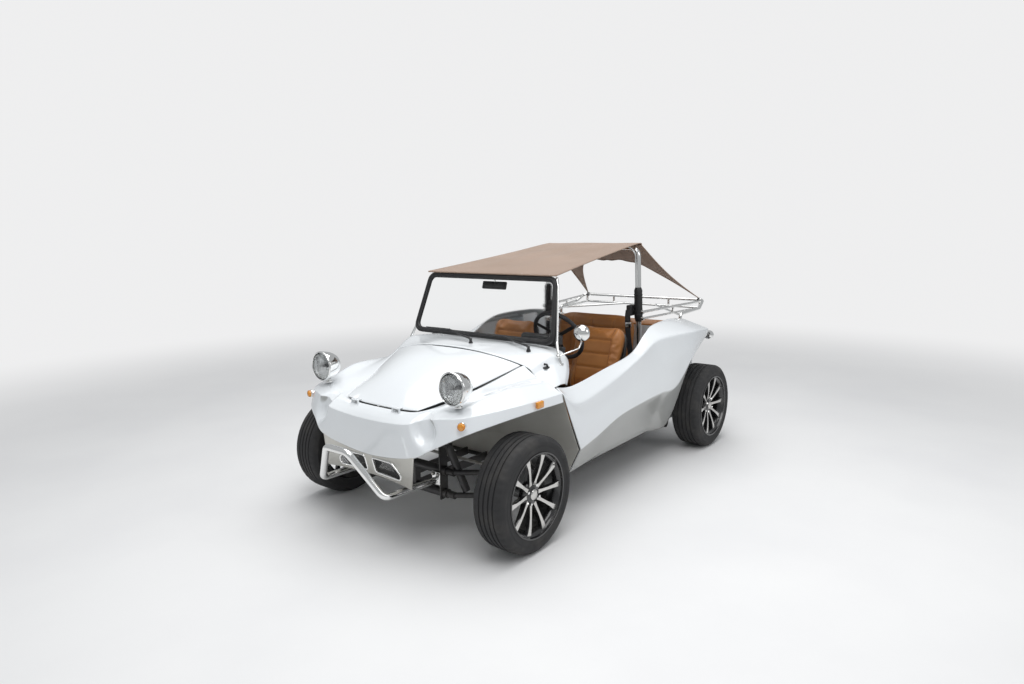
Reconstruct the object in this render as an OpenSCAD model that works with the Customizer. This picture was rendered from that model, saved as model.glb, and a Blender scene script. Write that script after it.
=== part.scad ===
// Four-seat dune buggy with a moulded open body, a cloth top on a roll hoop
// and a rear engine. The front points to -Y and the left side to +X.
// The origin is on the ground, midway between the nose bar and the rear rail.

/* [Overall] */
// Nose bar to front axle
front_overhang = 640; // [630:5:780]
// Distance between the axles
wheelbase = 2250; // [2200:10:2750]
// Rear axle to the rear rail
rear_overhang = 480; // [460:5:600]
// Width of the body over its shoulder creases
body_w = 1600; // [1560:5:1960]
// Height of the top of the roll hoop above the fender line
hoop_rise = 890; // [740:10:1080]

/* [Wheels] */
// Outer diameter of each tyre
tyre_d = 632; // [520:2:760]
// Width of the front tyres
front_tyre_w = 205; // [165:5:215]
// Width of the rear tyres
rear_tyre_w = 215; // [175:5:260]
// Diameter over the rim flanges
rim_d = 466; // [380:2:480]
// Front track, between tyre centres
front_track = 1513; // [1505:1:1800]
// Rear track, between tyre centres
rear_track = 1565; // [1555:1:1900]
// Height of the body's fender line above the tyres
arch_gap = 48; // [40:1:90]

/* [Body] */
// Thickness of the moulded body
skin_t = 8; // [5:1:12]
// Thickness of the floor pan and bulkheads
plate_t = 10; // [6:1:14]
// Gap round the hood
hood_gap = 6; // [5:0.5:10]

/* [Screen] */
// Width of the windshield frame at its foot
screen_w = 1190; // [1000:5:1220]
// Height of the windshield frame along its slope
screen_h = 420; // [340:5:500]
// Lean of the windshield from upright
screen_lean = 17.6; // [8:0.2:24]
// Width of the frame's border
screen_border = 34; // [24:1:44]

/* [Tubes] */
// Outer diameter of the roll hoop tube
hoop_d = 44; // [34:1:50]
// Outer diameter of the rear rail tubes
rail_d = 25; // [18:1:30]
// Outer diameter of the nose bar tube
bar_d = 38; // [26:1:44]
// Width of the roll hoop between its leg centres
hoop_w = 860; // [820:5:900]

/* [Interior] */
// Width of each front seat
seat_w = 420; // [340:5:470]
// Distance of each front seat's middle from the centre line
seat_x = 380; // [330:5:400]
// Width of the rear bench
bench_w = 760; // [600:5:780]
// Diameter of the steering wheel
wheel_rim_d = 350; // [300:5:380]

/* [Running gear] */
// Radius of the wheel spindles
spindle_r = 14; // [12:0.5:18]
// Distance of each kingpin inboard of the tyre's middle
kingpin_in = 140; // [135:1:150]
// Length of the steering arms
steer_arm = 110; // [90:1:120]
// Diameter of the circle of lug holes
lug_pcd = 130; // [100:1:140]

/* [Hidden] */
$fn = 48;

facet_in = 0.2;          // how far a faceted tube stays inside the round length that is clamped to
seat_fit = 0.3;          // gap between pieces that rest on each other
run_fit = 0.08;          // running clearance of a shaft in its bore
axle_z = tyre_d / 2;
arch_z = tyre_d + arch_gap;
overall_l = front_overhang + wheelbase + rear_overhang;
front_y = -overall_l / 2;
rear_y = overall_l / 2;
fa = front_y + front_overhang;
ra = fa + wheelbase;
half_w = body_w / 2;
pan_z = arch_z - 445;
pan_top = pan_z + plate_t;
seat_pan_z = pan_top + 175;
seat_y = fa + 1125;      // middle of each front seat's cushion, halfway between the axles

// ---------------------------------------------------------------- helpers
function unit(v) = v / norm(v);
function mirrored(p) = [-p[0], p[1], p[2]];
function flat(rows) = [for (row = rows) each row];

// Smooth curve through four points, u from 0 to 1 between the middle two
function curve4(a, b, c, d, u) = 0.5 * (2 * b + (c - a) * u
    + (2 * a - 5 * b + 4 * c - d) * u * u + (3 * b - a - 3 * c + d) * u * u * u);
function along(g, t) = let (n = len(g), s = t * (n - 1), i = min(n - 2, floor(s)))
    curve4(g[max(0, i - 1)], g[i], g[i + 1], g[min(n - 1, i + 2)], s - i);
// Grid of points: one row for each step along the guides, one column for each guide
function loft(guides, steps) = [for (k = [0:steps]) [for (g = guides) along(g, k / steps)]];

function grid_normal(g, i, j) = let (
    n = len(g) - 1,
    m = len(g[0]) - 1,
    a = g[min(i + 1, n)][j] - g[max(i - 1, 0)][j],
    b = g[i][min(j + 1, m)] - g[i][max(j - 1, 0)]
) unit(cross(a, b));
function reversed_rows(g) = [for (row = g) [for (j = [len(row) - 1:-1:0]) row[j]]];
function inner_grid(g, t) = [for (i = [0:len(g) - 1]) [for (j = [0:len(g[0]) - 1])
    g[i][j] - t * grid_normal(g, i, j)]];

// Closed shell: an outer grid and its copy t further in
module skin(outer, t) {
    n = len(outer);
    m = len(outer[0]);
    inner = inner_grid(outer, t);
    k = n * m;
    top = [for (i = [0:n - 2]) for (j = [0:m - 2]) each [
        [i * m + j, i * m + j + 1, (i + 1) * m + j + 1],
        [i * m + j, (i + 1) * m + j + 1, (i + 1) * m + j]]];
    low = [for (f = top) [f[2] + k, f[1] + k, f[0] + k]];
    rim = concat([for (i = [0:n - 2]) i * m], [for (j = [0:m - 2]) (n - 1) * m + j],
        [for (i = [n - 1:-1:1]) i * m + m - 1], [for (j = [m - 1:-1:1]) j]);
    edge = [for (i = [0:len(rim) - 1]) let (a = rim[i], b = rim[(i + 1) % len(rim)])
        each [[a, b, b + k], [a, b + k, a + k]]];
    polyhedron(concat(flat(outer), flat(inner)), concat(top, low, edge), convexity = 8);
}

// Outline with each corner rounded: corners = [[x, y, radius], ...]
function rounded(corners, steps = 5) = [for (i = [0:len(corners) - 1]) let (
    n = len(corners),
    c = corners[i],
    p = [c[0], c[1]],
    a = unit([corners[(i + n - 1) % n][0], corners[(i + n - 1) % n][1]] - p),
    b = unit([corners[(i + 1) % n][0], corners[(i + 1) % n][1]] - p),
    half = acos(a * b) / 2,
    cut = c[2] / tan(half),
    mid = p + unit(a + b) * c[2] / sin(half),
    from = p + a * cut - mid,
    to = p + b * cut - mid
) each [for (s = [0:steps]) mid + c[2] * unit(from * sin((90 - half) * 2 * (1 - s / steps))
    + to * sin((90 - half) * 2 * s / steps))]];

module along_z(from, to) {
    d = unit(to - from);
    side = abs(d[2]) > 0.9 ? [1, 0, 0] : [0, 0, 1];
    x = unit(cross(side, d));
    y = cross(d, x);
    multmatrix([[x[0], y[0], d[0], from[0]], [x[1], y[1], d[1], from[1]], [x[2], y[2], d[2], from[2]]])
        children();
}
module rod(from, to, r) {
    along_z(from, to) cylinder(h = norm(to - from), r = r);
}

// Path with each inner corner turned into an arc of short straights
function arc_path(path, bend, steps = 3) = let (n = len(path)) concat([path[0]],
    [for (i = [1:n - 2]) let (
        from = unit(path[i - 1] - path[i]),
        to = unit(path[i + 1] - path[i]),
        turn = 180 - acos(from * to),
        cut = bend * tan(turn / 2),
        mid = path[i] + unit(from + to) * bend / cos(turn / 2),
        a = path[i] + from * cut - mid,
        b = path[i] + to * cut - mid
    ) each [for (k = [0:steps])
        mid + (a * sin(turn * (1 - k / steps)) + b * sin(turn * k / steps)) / sin(turn)]],
    [path[n - 1]]);
// Rings of a tube: each is the one before carried along to the mitre plane of the next point
function swept(pts, mitre, i, ring) = i >= len(pts) - 1 ? [ring]
    : let (d = unit(pts[i + 1] - pts[i])) concat([ring], swept(pts, mitre, i + 1,
        [for (p = ring) p + d * (((pts[i + 1] - p) * mitre[i + 1]) / (d * mitre[i + 1]))]));
module bent_tube(path, r, bend, sides = 16) {
    pts = arc_path(path, bend);
    n = len(pts);
    way = [for (i = [0:n - 2]) unit(pts[i + 1] - pts[i])];
    mitre = [for (i = [0:n - 1]) unit(way[max(i - 1, 0)] + way[min(i, n - 2)])];
    side = unit(cross(way[0], [0, 1, 0]));
    first = [for (k = [0:sides - 1]) let (a = k * 360 / sides)
        pts[0] + r * (side * cos(a) + cross(way[0], side) * sin(a))];
    wall = [for (i = [0:n - 2]) for (k = [0:sides - 1])
        let (a = i * sides + k, b = i * sides + (k + 1) % sides)
        each [[a, b + sides, b], [a, a + sides, b + sides]]];
    ends = [[for (k = [0:sides - 1]) k], [for (k = [sides - 1:-1:0]) (n - 1) * sides + k]];
    polyhedron(flat(swept(pts, mitre, 0, first)), concat(wall, ends), convexity = 6);
}
module both_sides() {
    children();
    mirror([1, 0, 0]) children();
}
module block(low, high) {
    translate(low) cube(high - low);
}

// ---------------------------------------------------------------- body
// Each station of the nose runs from the hood seam out to the fender's lower edge.
// Columns: hood seam, slope, crown, crease, lower edge; each is [x, y, z] with
// x from the centre line, y from the front axle and z from the fender line.
nose_stations = [
    [[0, -340, 68], [0, -370, 52], [0, -394, 34], [0, -415, 12], [0, -420, -180]],
    [[170, -337, 70], [171, -368, 55], [172, -394, 38], [173, -417, 18], [182, -425, -165]],
    [[300, -315, 77], [312, -347, 68], [319, -382, 54], [324, -415, 35], [375, -430, -128]],
    [[357, -190, 95], [415, -262, 98], [450, -318, 92], [472, -368, 74], [482, -400, -72]],
    [[398, -60, 128], [490, -125, 130], [568, -195, 130], [628, -285, 90], [642, -300, 12]],
    [[455, 90, 172], [560, 60, 158], [650, 40, 180], [half_w - 52, 20, 107], [half_w - 44, 20, 60]],
    [[530, 315, 246], [610, 322, 190], [690, 325, 165], [half_w - 14, 330, 112], [half_w - 6, 328, 68]]];
nose_guides = [for (j = [0:4]) let (half = [for (s = nose_stations) s[j] + [0, fa, arch_z]])
    concat([for (i = [len(half) - 1:-1:1]) mirrored(half[i])], half)];
hood_centre = [0, fa - 30, 0];
hood_ledge = [for (p = nose_guides[0]) hood_centre + 0.93 * (p - hood_centre) + [0, 0, 0.07 * p[2] - 26]];

module body_nose() {
    color("white") skin(reversed_rows(loft(concat([hood_ledge], nose_guides), 24)), skin_t);
    color("white") both_sides()
        for (x = [hinge_x - hinge_half - 10, hinge_x + hinge_half + 0.5]) nose_hinge_ear(x);
}

// The hood: a crowned lid inside the nose's seam, hinged along its front edge.
// Columns: half width, y of the edge and of the middle from the front axle, z of the
// edge and of the middle from the fender line.
hood_rows = [
    [294, -307, -332, 82, 74],
    [345, -200, -200, 105, 156],
    [390, -60, -60, 134, 226],
    [450, 95, 95, 182, 282],
    [520, 305, 258, 246, 312]];
hood_lines = [-1, -0.72, -0.36, 0, 0.36, 0.72, 1];
hood_guides = [for (s = hood_lines) let (rise = 1 - pow(abs(s), 2.6)) [for (r = hood_rows)
    [s * (r[0] - hood_gap), fa + r[1] + (r[2] - r[1]) * rise, arch_z + r[3] + (r[4] - r[3]) * rise]]];
hinge_y = fa - 350;
hinge_z = arch_z + 82;
hinge_x = 170;
hinge_half = 20;
hinge_pin_r = 3;
barrel_r = 6;
module nose_hinge_ear(x) {
    translate([x, hinge_y, hinge_z]) rotate([0, 90, 0]) cylinder(h = 9.5, r = barrel_r);
    block([x, hinge_y - barrel_r, arch_z + 40], [x + 9.5, hinge_y, hinge_z]);
    if (x < hinge_x) translate([x + 1, hinge_y, hinge_z]) rotate([0, 90, 0])
        cylinder(h = 2 * hinge_half + 18, r = hinge_pin_r);
}
module hood() {
    color("white") difference() {
        union() {
            skin(reversed_rows(loft(hood_guides, 12)), skin_t);
            both_sides() {
                translate([hinge_x - hinge_half, hinge_y, hinge_z]) rotate([0, 90, 0])
                    cylinder(h = 2 * hinge_half, r = barrel_r);
                block([hinge_x - hinge_half, hinge_y, hinge_z - 2],
                    [hinge_x + hinge_half, hinge_y + 54, hinge_z + 2]);
            }
        }
        both_sides() translate([hinge_x - hinge_half - 1, hinge_y, hinge_z]) rotate([0, 90, 0])
            cylinder(h = 2 * hinge_half + 2, r = hinge_pin_r + run_fit);
    }
}

// The cowl carries the screen and closes the body over the footwell.
// Columns: hood side, screen foot, rear edge, drop behind the dashboard.
cowl_stations = [
    [[0, 268, 318], [0, 500, 328], [0, 640, 322], [0, 662, 290]],
    [[270, 276, 303], [280, 500, 327], [290, 640, 318], [290, 662, 288]],
    [[530, 316, 245], [565, 478, 308], [575, 610, 296], [575, 640, 266]],
    [[612, 323, 189], [640, 455, 236], [655, 560, 222], [650, 600, 196]],
    [[732, 328, 140], [728, 400, 142], [720, 450, 135], [708, 490, 120]]];
cowl_guides = [for (j = [0:3]) let (g = [for (s = cowl_stations) s[j] + [0, fa, arch_z]])
    concat([for (i = [len(g) - 1:-1:1]) mirrored(g[i])], g)];
// Point on the cowl: t from -4 to 4 across, v from 0 at the hood to 1 at the screen
function cowl_point(t, v) = along(cowl_guides[0], (t + 4) / 8) * (1 - v)
    + along(cowl_guides[1], (t + 4) / 8) * v;
module cowl() {
    color("white") skin(loft(cowl_guides, 16), skin_t);
}

// Each station of a side runs from the opening's edge down to the flange on the pan.
// Columns: opening edge, shoulder crease, waist, lower crease, tuck-under, flange start,
// flange end; each is [inset from the shoulder, y at the standard wheelbase, z from the fender line].
half_base = 1125;        // distance of each axle from the middle in the tables of the sides
flange_z = pan_top + seat_fit - arch_z;
function side_y(y) = y < 0 ? fa + half_base + y : ra - half_base + y;
side_stations = [
    [[61, -790, 139], [13, -793, 110], [10, -725, -40], [14, -610, -268], [96, -600, -425],
        [125, -598, flange_z], [160, -596, flange_z]],
    [[76, -600, 112], [0, -640, 24], [10, -560, -90], [2, -450, -225], [96, -420, -412],
        [125, -418, flange_z], [160, -416, flange_z]],
    [[80, -250, 147], [0, -250, 84], [12, -250, -55], [0, -170, -158], [98, -150, -386],
        [125, -148, flange_z], [160, -146, flange_z]],
    [[82, 100, 192], [2, 90, 176], [12, 110, 0], [0, 140, -134], [100, 140, -384],
        [125, 142, flange_z], [160, 144, flange_z]],
    [[92, 310, 292], [8, 320, 246], [4, 350, 60], [0, 400, -126], [100, 400, -395],
        [125, 402, flange_z], [160, 404, flange_z]],
    [[118, 480, 334], [-18, 500, 262], [-22, 560, 110], [-2, 640, -124], [90, 690, -425],
        [125, 694, flange_z], [160, 696, flange_z]],
    [[160, 850, 334], [-38, 850, 254], [-40, 860, 160], [-30, 850, 60], [-8, 842, 2],
        [12, 846, 4], [34, 850, 10]],
    [[210, 1195, 290], [12, 1225, 222], [20, 1245, 196], [26, 1250, 180], [40, 1240, 158],
        [56, 1234, 158], [74, 1226, 162]]];
side_guides = [for (j = [0:6]) [for (s = side_stations)
    [half_w - s[j][0], side_y(s[j][1]), arch_z + s[j][2]]]];
module body_side() {
    color("white") skin(reversed_rows(loft(side_guides, 28)), skin_t);
}
module body_side_left() {
    body_side();
}
module body_side_right() {
    mirror([1, 0, 0]) body_side();
}

// ---------------------------------------------------------------- pan and inner panels
pan_half = half_w - 135;
pan_front = fa + 480;
bulkhead_y = ra - 225;
module floor_pan() {
    tunnel_w = 170;
    tunnel_h = 120;
    channel_w = 70;
    wall_back = side_y(-591);
    color("dimgray") {
        difference() {
            block([-pan_half, pan_front, pan_z], [pan_half, bulkhead_y, pan_top]);
            both_sides() block([half_w - 166, side_y(402), pan_z - 1],
                [pan_half + 1, bulkhead_y + 1, pan_top + 1]);
        }
        block([-tunnel_w / 2, wall_back, pan_top], [tunnel_w / 2, bulkhead_y - seat_fit, pan_top + tunnel_h]);
        both_sides() block([pan_half - 45 - channel_w, wall_back, pan_top],
            [pan_half - 45, ra - 480, pan_top + channel_w]);
    }
}

// Wall behind the front wheels, shaped like the front edge of the sides, with the tank's shelf
wall_gap = 0.6;
shelf_z = arch_z - 40;
module front_bulkhead() {
    rows = [[470, -806, 200], [24, -780, 96], [22, -725, -40], [26, -612, -268], [100, -602, -410],
        [172, -600, flange_z + 0.4]];
    wall = [for (s = [-1, -0.6, 0, 0.6, 1]) [for (r = rows)
        [s * (half_w - r[0] - wall_gap), side_y(r[1]), arch_z + r[2]]]];
    color("dimgray") {
        skin(wall, plate_t / 2);
        block([-300, fa - 80, shelf_z], [300, fa + 400, shelf_z + 5]);
    }
}

// Rear tub: bulkhead, inner wheel arches, ledges, deck and tail panel
arch_in = rear_track / 2 - rear_tyre_w / 2 - 20;
tub_top = arch_z + 257;
ledge_in = bench_w / 2 + 14;
ledge_z = arch_z - 90;
tail_y = ra + 108;
plate_pitch = 240;
damper_x = rear_track / 2 - 235;
damper_y = ra + 60;
module rear_tub() {
    ledge_y = ra - 520;
    arch_low = axle_z + 140;
    color("white") difference() {
        union() {
            block([-arch_in, bulkhead_y + seat_fit, pan_top - 2], [arch_in, bulkhead_y + plate_t, tub_top]);
            block([-arch_in, bulkhead_y, tub_top - plate_t], [arch_in, tail_y, tub_top]);
            block([-arch_in, tail_y - plate_t, arch_z - 20], [arch_in, tail_y, tub_top]);
            both_sides() {
                block([arch_in - plate_t, ra - 400, pan_top + seat_fit],
                    [arch_in, bulkhead_y + plate_t, tub_top + 40]);
                block([arch_in - plate_t, bulkhead_y, arch_low], [arch_in, tail_y, tub_top]);
                block([ledge_in, ledge_y, ledge_z - plate_t], [arch_in, bulkhead_y + plate_t, ledge_z]);
                block([ledge_in, ledge_y, pan_top + seat_fit],
                    [ledge_in + plate_t, bulkhead_y + plate_t, ledge_z]);
                block([damper_x - 25, damper_y - 25, arch_z - 60], [arch_in, damper_y + 25, arch_z - 50]);
            }
        }
        for (s = [-1, 1])
            translate([s * plate_pitch / 2, tail_y + 1, arch_z + 130]) rotate([90, 0, 0])
                cylinder(h = plate_t + 2, r = 3.5);
    }
}

module fuel_tank() {
    tank_half = 260;
    tank_l = 310;
    tank_h = 120;
    low = shelf_z + 5 + seat_fit;
    color("black") {
        block([-tank_half, fa - 60, low], [tank_half, fa - 60 + tank_l, low + tank_h]);
        translate([0, fa + 30, low + tank_h - 1]) cylinder(h = 26, r = 42);
    }
}

// ---------------------------------------------------------------- nose pieces
// Columns: top edge, bottom edge of the valance, as the nose stations
// The valance hangs from the middle of the nose's lower edge and leans back to its own.
valance_low = [0, fa - 386, arch_z - 312];
valance_grid = [for (k = [8:16]) let (p = along(nose_guides[4], k / 24))
    [valance_low + [p[0] * 0.93, -p[0] * p[0] / 3400, 0], p - [0, 0, 1.8]]];
grille_corners = [[34, -34, 16], [34, -118, 16], [292, -118, 24], [190, -34, 50]];
valance_t = 5;
module grille_cut(grow) {
    translate([0, fa - 300, arch_z - 168]) rotate([90, 0, 0]) linear_extrude(200)
        polygon(rounded([for (c = grille_corners) [c[0] + (c[0] > 100 ? grow : -grow),
            c[1] + (c[1] > -60 ? grow : -grow), c[2]]]));
}
module front_valance() {
    color("silver") difference() {
        skin(valance_grid, valance_t);
        both_sides() grille_cut(0);
    }
}
module grille_mesh() {
    low = inner_grid(valance_grid, valance_t + seat_fit);
    color("black") both_sides() intersection() {
        skin(low, 3);
        grille_cut(10);
    }
}

// Nose bar: a hoop that is narrow at the top and turns back to the frame at the foot
tower_x = 300;
module nudge_bar() {
    top_y = front_y + bar_d / 2;
    foot_y = beam_y - 30 - seat_fit;
    bar_low = arch_z - 342;
    foot_t = 8;
    bar_clamp = 100;
    path = [[270, foot_y - foot_t, bar_low - 10], [258, top_y + 85, bar_low], [88, top_y, arch_z - 105],
        [-88, top_y, arch_z - 105], [-258, top_y + 85, bar_low], [-270, foot_y - foot_t, bar_low - 10]];
    color("silver") {
        bent_tube(path, bar_d / 2 - facet_in, 55);
        translate([-bar_clamp / 2, top_y, arch_z - 105]) rotate([0, 90, 0])
            cylinder(h = bar_clamp, r = bar_d / 2);
        both_sides() block([270 - bar_d / 2 - 4, foot_y - foot_t - 1, bar_low - 36],
            [tower_x + 2, foot_y, bar_low + 40]);
    }
}

lamp_x = 537;
lamp_y = fa - 296;
lamp_z = arch_z + 226;
lamp_r = 88;
lamp_foot = arch_z + 121;
module headlights() {
    // Bullet shell with a proud rim: [radius, distance forward of the lamp's plane]
    outline = [[lamp_r - 6, -6], [lamp_r - 6, 8], [lamp_r, 8], [lamp_r, -24], [lamp_r - 8, -56],
        [lamp_r - 26, -90], [lamp_r - 54, -114], [0, -124],
        [0, -118], [lamp_r - 58, -108], [lamp_r - 32, -84],
        [lamp_r - 14, -52], [lamp_r - 6, -24]];
    stalk_y = lamp_y + 45;
    color("silver") both_sides() {
        translate([lamp_x, lamp_y, lamp_z]) rotate([90, 0, 0]) rotate_extrude() polygon(outline);
        translate([lamp_x, stalk_y, lamp_foot]) cylinder(h = lamp_z - lamp_foot - lamp_r + 12, r = 11);
        translate([lamp_x, stalk_y, lamp_foot]) cylinder(h = 8, r = 20);
    }
}
module headlight_lenses() {
    color("lightcyan") both_sides() translate([lamp_x, lamp_y - 6, lamp_z]) rotate([90, 0, 0])
        cylinder(h = 8, r = lamp_r - 6 - seat_fit);
}

module amber_lamps() {
    signal_r = 23;
    color("orange") both_sides() {
        translate([620, fa - 313.6, arch_z + 52]) rotate([90, 0, 20]) cylinder(h = 26, r = signal_r);
        block([half_w - 26.5, fa + 90, arch_z + 74], [half_w - 6.5, fa + 146, arch_z + 112]);
    }
}
module tail_lamps() {
    color("firebrick") both_sides() {
        translate([half_w - 62, ra + 250, arch_z + 150]) rotate([90, 0, 0]) cylinder(h = 46, r = 34);
        translate([half_w - 62, ra + 206, arch_z + 142]) rotate([90, 0, 0]) cylinder(h = 116, r = 9);
        block([arch_in + seat_fit, ra + 84, arch_z + 134], [half_w - 55, ra + 102, arch_z + 148]);
    }
}

// ---------------------------------------------------------------- screen and cockpit
frame_t = 30;
screen_z = arch_z + 326.8 + frame_t / 2 * sin(screen_lean) + seat_fit;
screen_y = fa + 527;
screen_taper = 0.146;              // how much each side closes in for each unit of height
function screen_outline(inset, r) = let (
    b = screen_w / 2 - inset,
    t = b - (screen_h - 2 * inset) * screen_taper)
    rounded([[b, inset, r], [t, screen_h - inset, r], [-t, screen_h - inset, r], [-b, inset, r]]);
module on_screen() {
    translate([0, screen_y, screen_z]) rotate([90 - screen_lean, 0, 0]) children();
}
module windshield_frame() {
    color("black") on_screen() translate([0, 0, -frame_t / 2]) linear_extrude(frame_t) difference() {
        polygon(screen_outline(0, 62));
        polygon(screen_outline(screen_border, 40));
    }
}
module windshield_glass() {
    color("lightcyan") on_screen() translate([0, 0, -3]) linear_extrude(6)
        polygon(screen_outline(screen_border + seat_fit, 40));
}
// Pivots on the cowl: place across, place towards the screen, height off the surface
wiper_places = [[0.22, 0.5, 1.2], [1.66, 0.7, 3.9]];
module wipers() {
    pivot_h = 26;
    sweep = [-250, 62, 30];
    color("black") for (w = wiper_places) {
        p = cowl_point(w[0], w[1]) + [0, 0, w[2]];
        tip = p + [sweep[0], sweep[1], sweep[2] + pivot_h];
        translate(p) cylinder(h = pivot_h, r = 11);
        rod(p + [0, 0, pivot_h - 6], tip, 5);
        rod(tip - [190, 16, -6], tip + [190, -16, -16], 6);
    }
}
module interior_mirror() {
    drop = screen_h - 17;
    color("black") on_screen() {
        translate([-100, screen_h - 84, -75]) cube([200, 52, 18]);
        rod([0, drop, -frame_t / 2 - seat_fit], [0, drop, -66], 6);
        rod([0, drop + 4, -66], [0, drop - 25, -66], 6);
    }
}
mirror_z = arch_z + 396;
module side_mirror() {
    head_x = half_w - 115;
    head_y = fa + 692;
    head_r = 52;
    foot = [screen_w / 2 + 44, screen_y - 26, screen_z - 52.8];
    color("silver") {
        translate([head_x, head_y, mirror_z]) rotate([90, 0, 0]) cylinder(h = 16, r = head_r);
        translate([head_x, head_y - 15, mirror_z]) rotate([90, 0, 0])
            rotate_extrude() polygon([[0, 0], [head_r, 0], [head_r - 8, 14], [head_r - 24, 26], [0, 34]]);
        rod([head_x, head_y - 8, mirror_z - head_r + 2], foot, 5);
        rod(foot, foot + [-16, 4, 2], 12);
    }
}

dash_y = fa + 664;
module dashboard() {
    dash_top = arch_z + 300;
    dash_low = arch_z + 110;
    dash_half = 566;
    dash_t = 22;
    pod_half = 150;
    color("black") difference() {
        union() {
            block([-dash_half, dash_y, dash_low], [dash_half, dash_y + dash_t, dash_top]);
            block([seat_x - pod_half, dash_y + 2, dash_top - 1],
                [seat_x + pod_half, dash_y + 60, dash_top + 66]);
        }
        rod(wheel_at, wheel_at - wheel_dir * 400, column_r + seat_fit);
    }
}
column_r = 19;
wheel_tilt = 62;
wheel_at = [seat_x, fa + 880, arch_z + 330];
wheel_dir = [0, sin(wheel_tilt), cos(wheel_tilt)];
module steering_wheel() {
    grip_r = 13;
    color("black") translate(wheel_at) rotate([-wheel_tilt, 0, 0]) {
        rotate_extrude() translate([wheel_rim_d / 2, 0]) circle(grip_r);
        cylinder(h = 26, r = 34, center = true);
        for (a = [90, 210, 330]) rotate([0, 0, a]) translate([30, -12, -4])
            cube([wheel_rim_d / 2 - 40, 24, 6]);
    }
}
module steering_column() {
    color("dimgray") rod(wheel_at - wheel_dir * (13 + seat_fit), wheel_at - wheel_dir * 330, column_r);
}

module seat() {
    base_h = 120;
    back_t = 110;
    back_h = 520;
    back_lean = 16;
    half = seat_w / 2;
    base_low = seat_pan_z - 60;
    color("sienna") {
        translate([0, seat_y + 20, base_low]) linear_extrude(base_h + 40)
            polygon(rounded([[half, -270, 60], [half, 190, 30], [-half, 190, 30], [-half, -270, 60]]));
        translate([0, seat_y + 165, seat_pan_z + 102]) rotate([90 - back_lean, 0, 0])
            linear_extrude(back_t, center = true)
                polygon(rounded([[half, 0, 30], [half - 12, back_h, 90], [12 - half, back_h, 90],
                    [-half, 0, 30]]));
    }
    color("black") block([40 - half, seat_y - 200, pan_top + seat_fit],
        [half - 40, seat_y + 150, base_low - seat_fit]);
}
module front_seat_left() {
    translate([seat_x, 0, 0]) seat();
}
module front_seat_right() {
    translate([-seat_x, 0, 0]) seat();
}
module rear_bench() {
    top = arch_z - 90;
    back_t = 90;
    back_h = 575;
    back_lean = 8;
    back_y = bulkhead_y - back_t - back_h * sin(back_lean) - 2;
    color("sienna") {
        block([-bench_w / 2, ra - 660, top - 130], [bench_w / 2, back_y + 20, top]);
        translate([-bench_w / 2 + 3, back_y, top - 110]) rotate([-back_lean, 0, 0])
            cube([bench_w - 6, back_t, back_h]);
        block([-bench_w / 2 + 30, ra - 600, pan_top + 120 + seat_fit],
            [bench_w / 2 - 30, back_y - 5, top - 125]);
    }
}
module driver_controls() {
    lever_y = fa + 860;
    tunnel_top = pan_top + 120 + seat_fit;
    color("black") {
        translate([0, lever_y, tunnel_top]) cylinder(h = 14, r = 34);
        rod([0, lever_y, tunnel_top + 12], [0, lever_y + 60, tunnel_top + 250], 7);
        translate([0, lever_y + 60, tunnel_top + 258]) sphere(23);
        block([-14, lever_y + 150, tunnel_top], [14, lever_y + 230, tunnel_top + 30]);
        rod([0, lever_y + 190, tunnel_top + 26], [0, lever_y + 400, tunnel_top + 110], 11);
        for (x = [-95, 0, 95]) translate([seat_x - 40 + x, pan_front + 90, pan_top + seat_fit]) {
            block([-22, -6, 150], [22, 4, 215]);
            block([-7, -3, 0], [7, 3, 160]);
        }
    }
}

// ---------------------------------------------------------------- hoop, rail and top
hoop_y = ra - 357;
hoop_z = arch_z + hoop_rise;
hoop_foot_z = ledge_z + seat_fit;
hoop_bar_z = hoop_z - hoop_d / 2;
hoop_top_w = hoop_w - 44;
function hoop_leg_x(z) = (hoop_w - (hoop_w - hoop_top_w)
    * (z - hoop_foot_z) / (hoop_bar_z - hoop_foot_z)) / 2;
module roll_hoop() {
    foot_z = hoop_foot_z;
    top_z = hoop_bar_z;
    hoop_clamp = 600;
    color("silver") {
        translate([-hoop_clamp / 2, hoop_y, top_z]) rotate([0, 90, 0])
            cylinder(h = hoop_clamp, r = hoop_d / 2);
        bent_tube([[hoop_w / 2, hoop_y, foot_z + 8], [hoop_top_w / 2, hoop_y, top_z],
            [-hoop_top_w / 2, hoop_y, top_z], [-hoop_w / 2, hoop_y, foot_z + 8]], hoop_d / 2 - facet_in, 75);
        both_sides() translate([hoop_w / 2, hoop_y, foot_z]) cylinder(h = 8, r = hoop_d / 2 + 12);
    }
}
rail_half = 580;
rail_top = arch_z + 400;
rail_low = arch_z + 335;
rail_y = rear_y - rail_d / 2;
rail_post_x = [-270, 0, 270];
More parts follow.
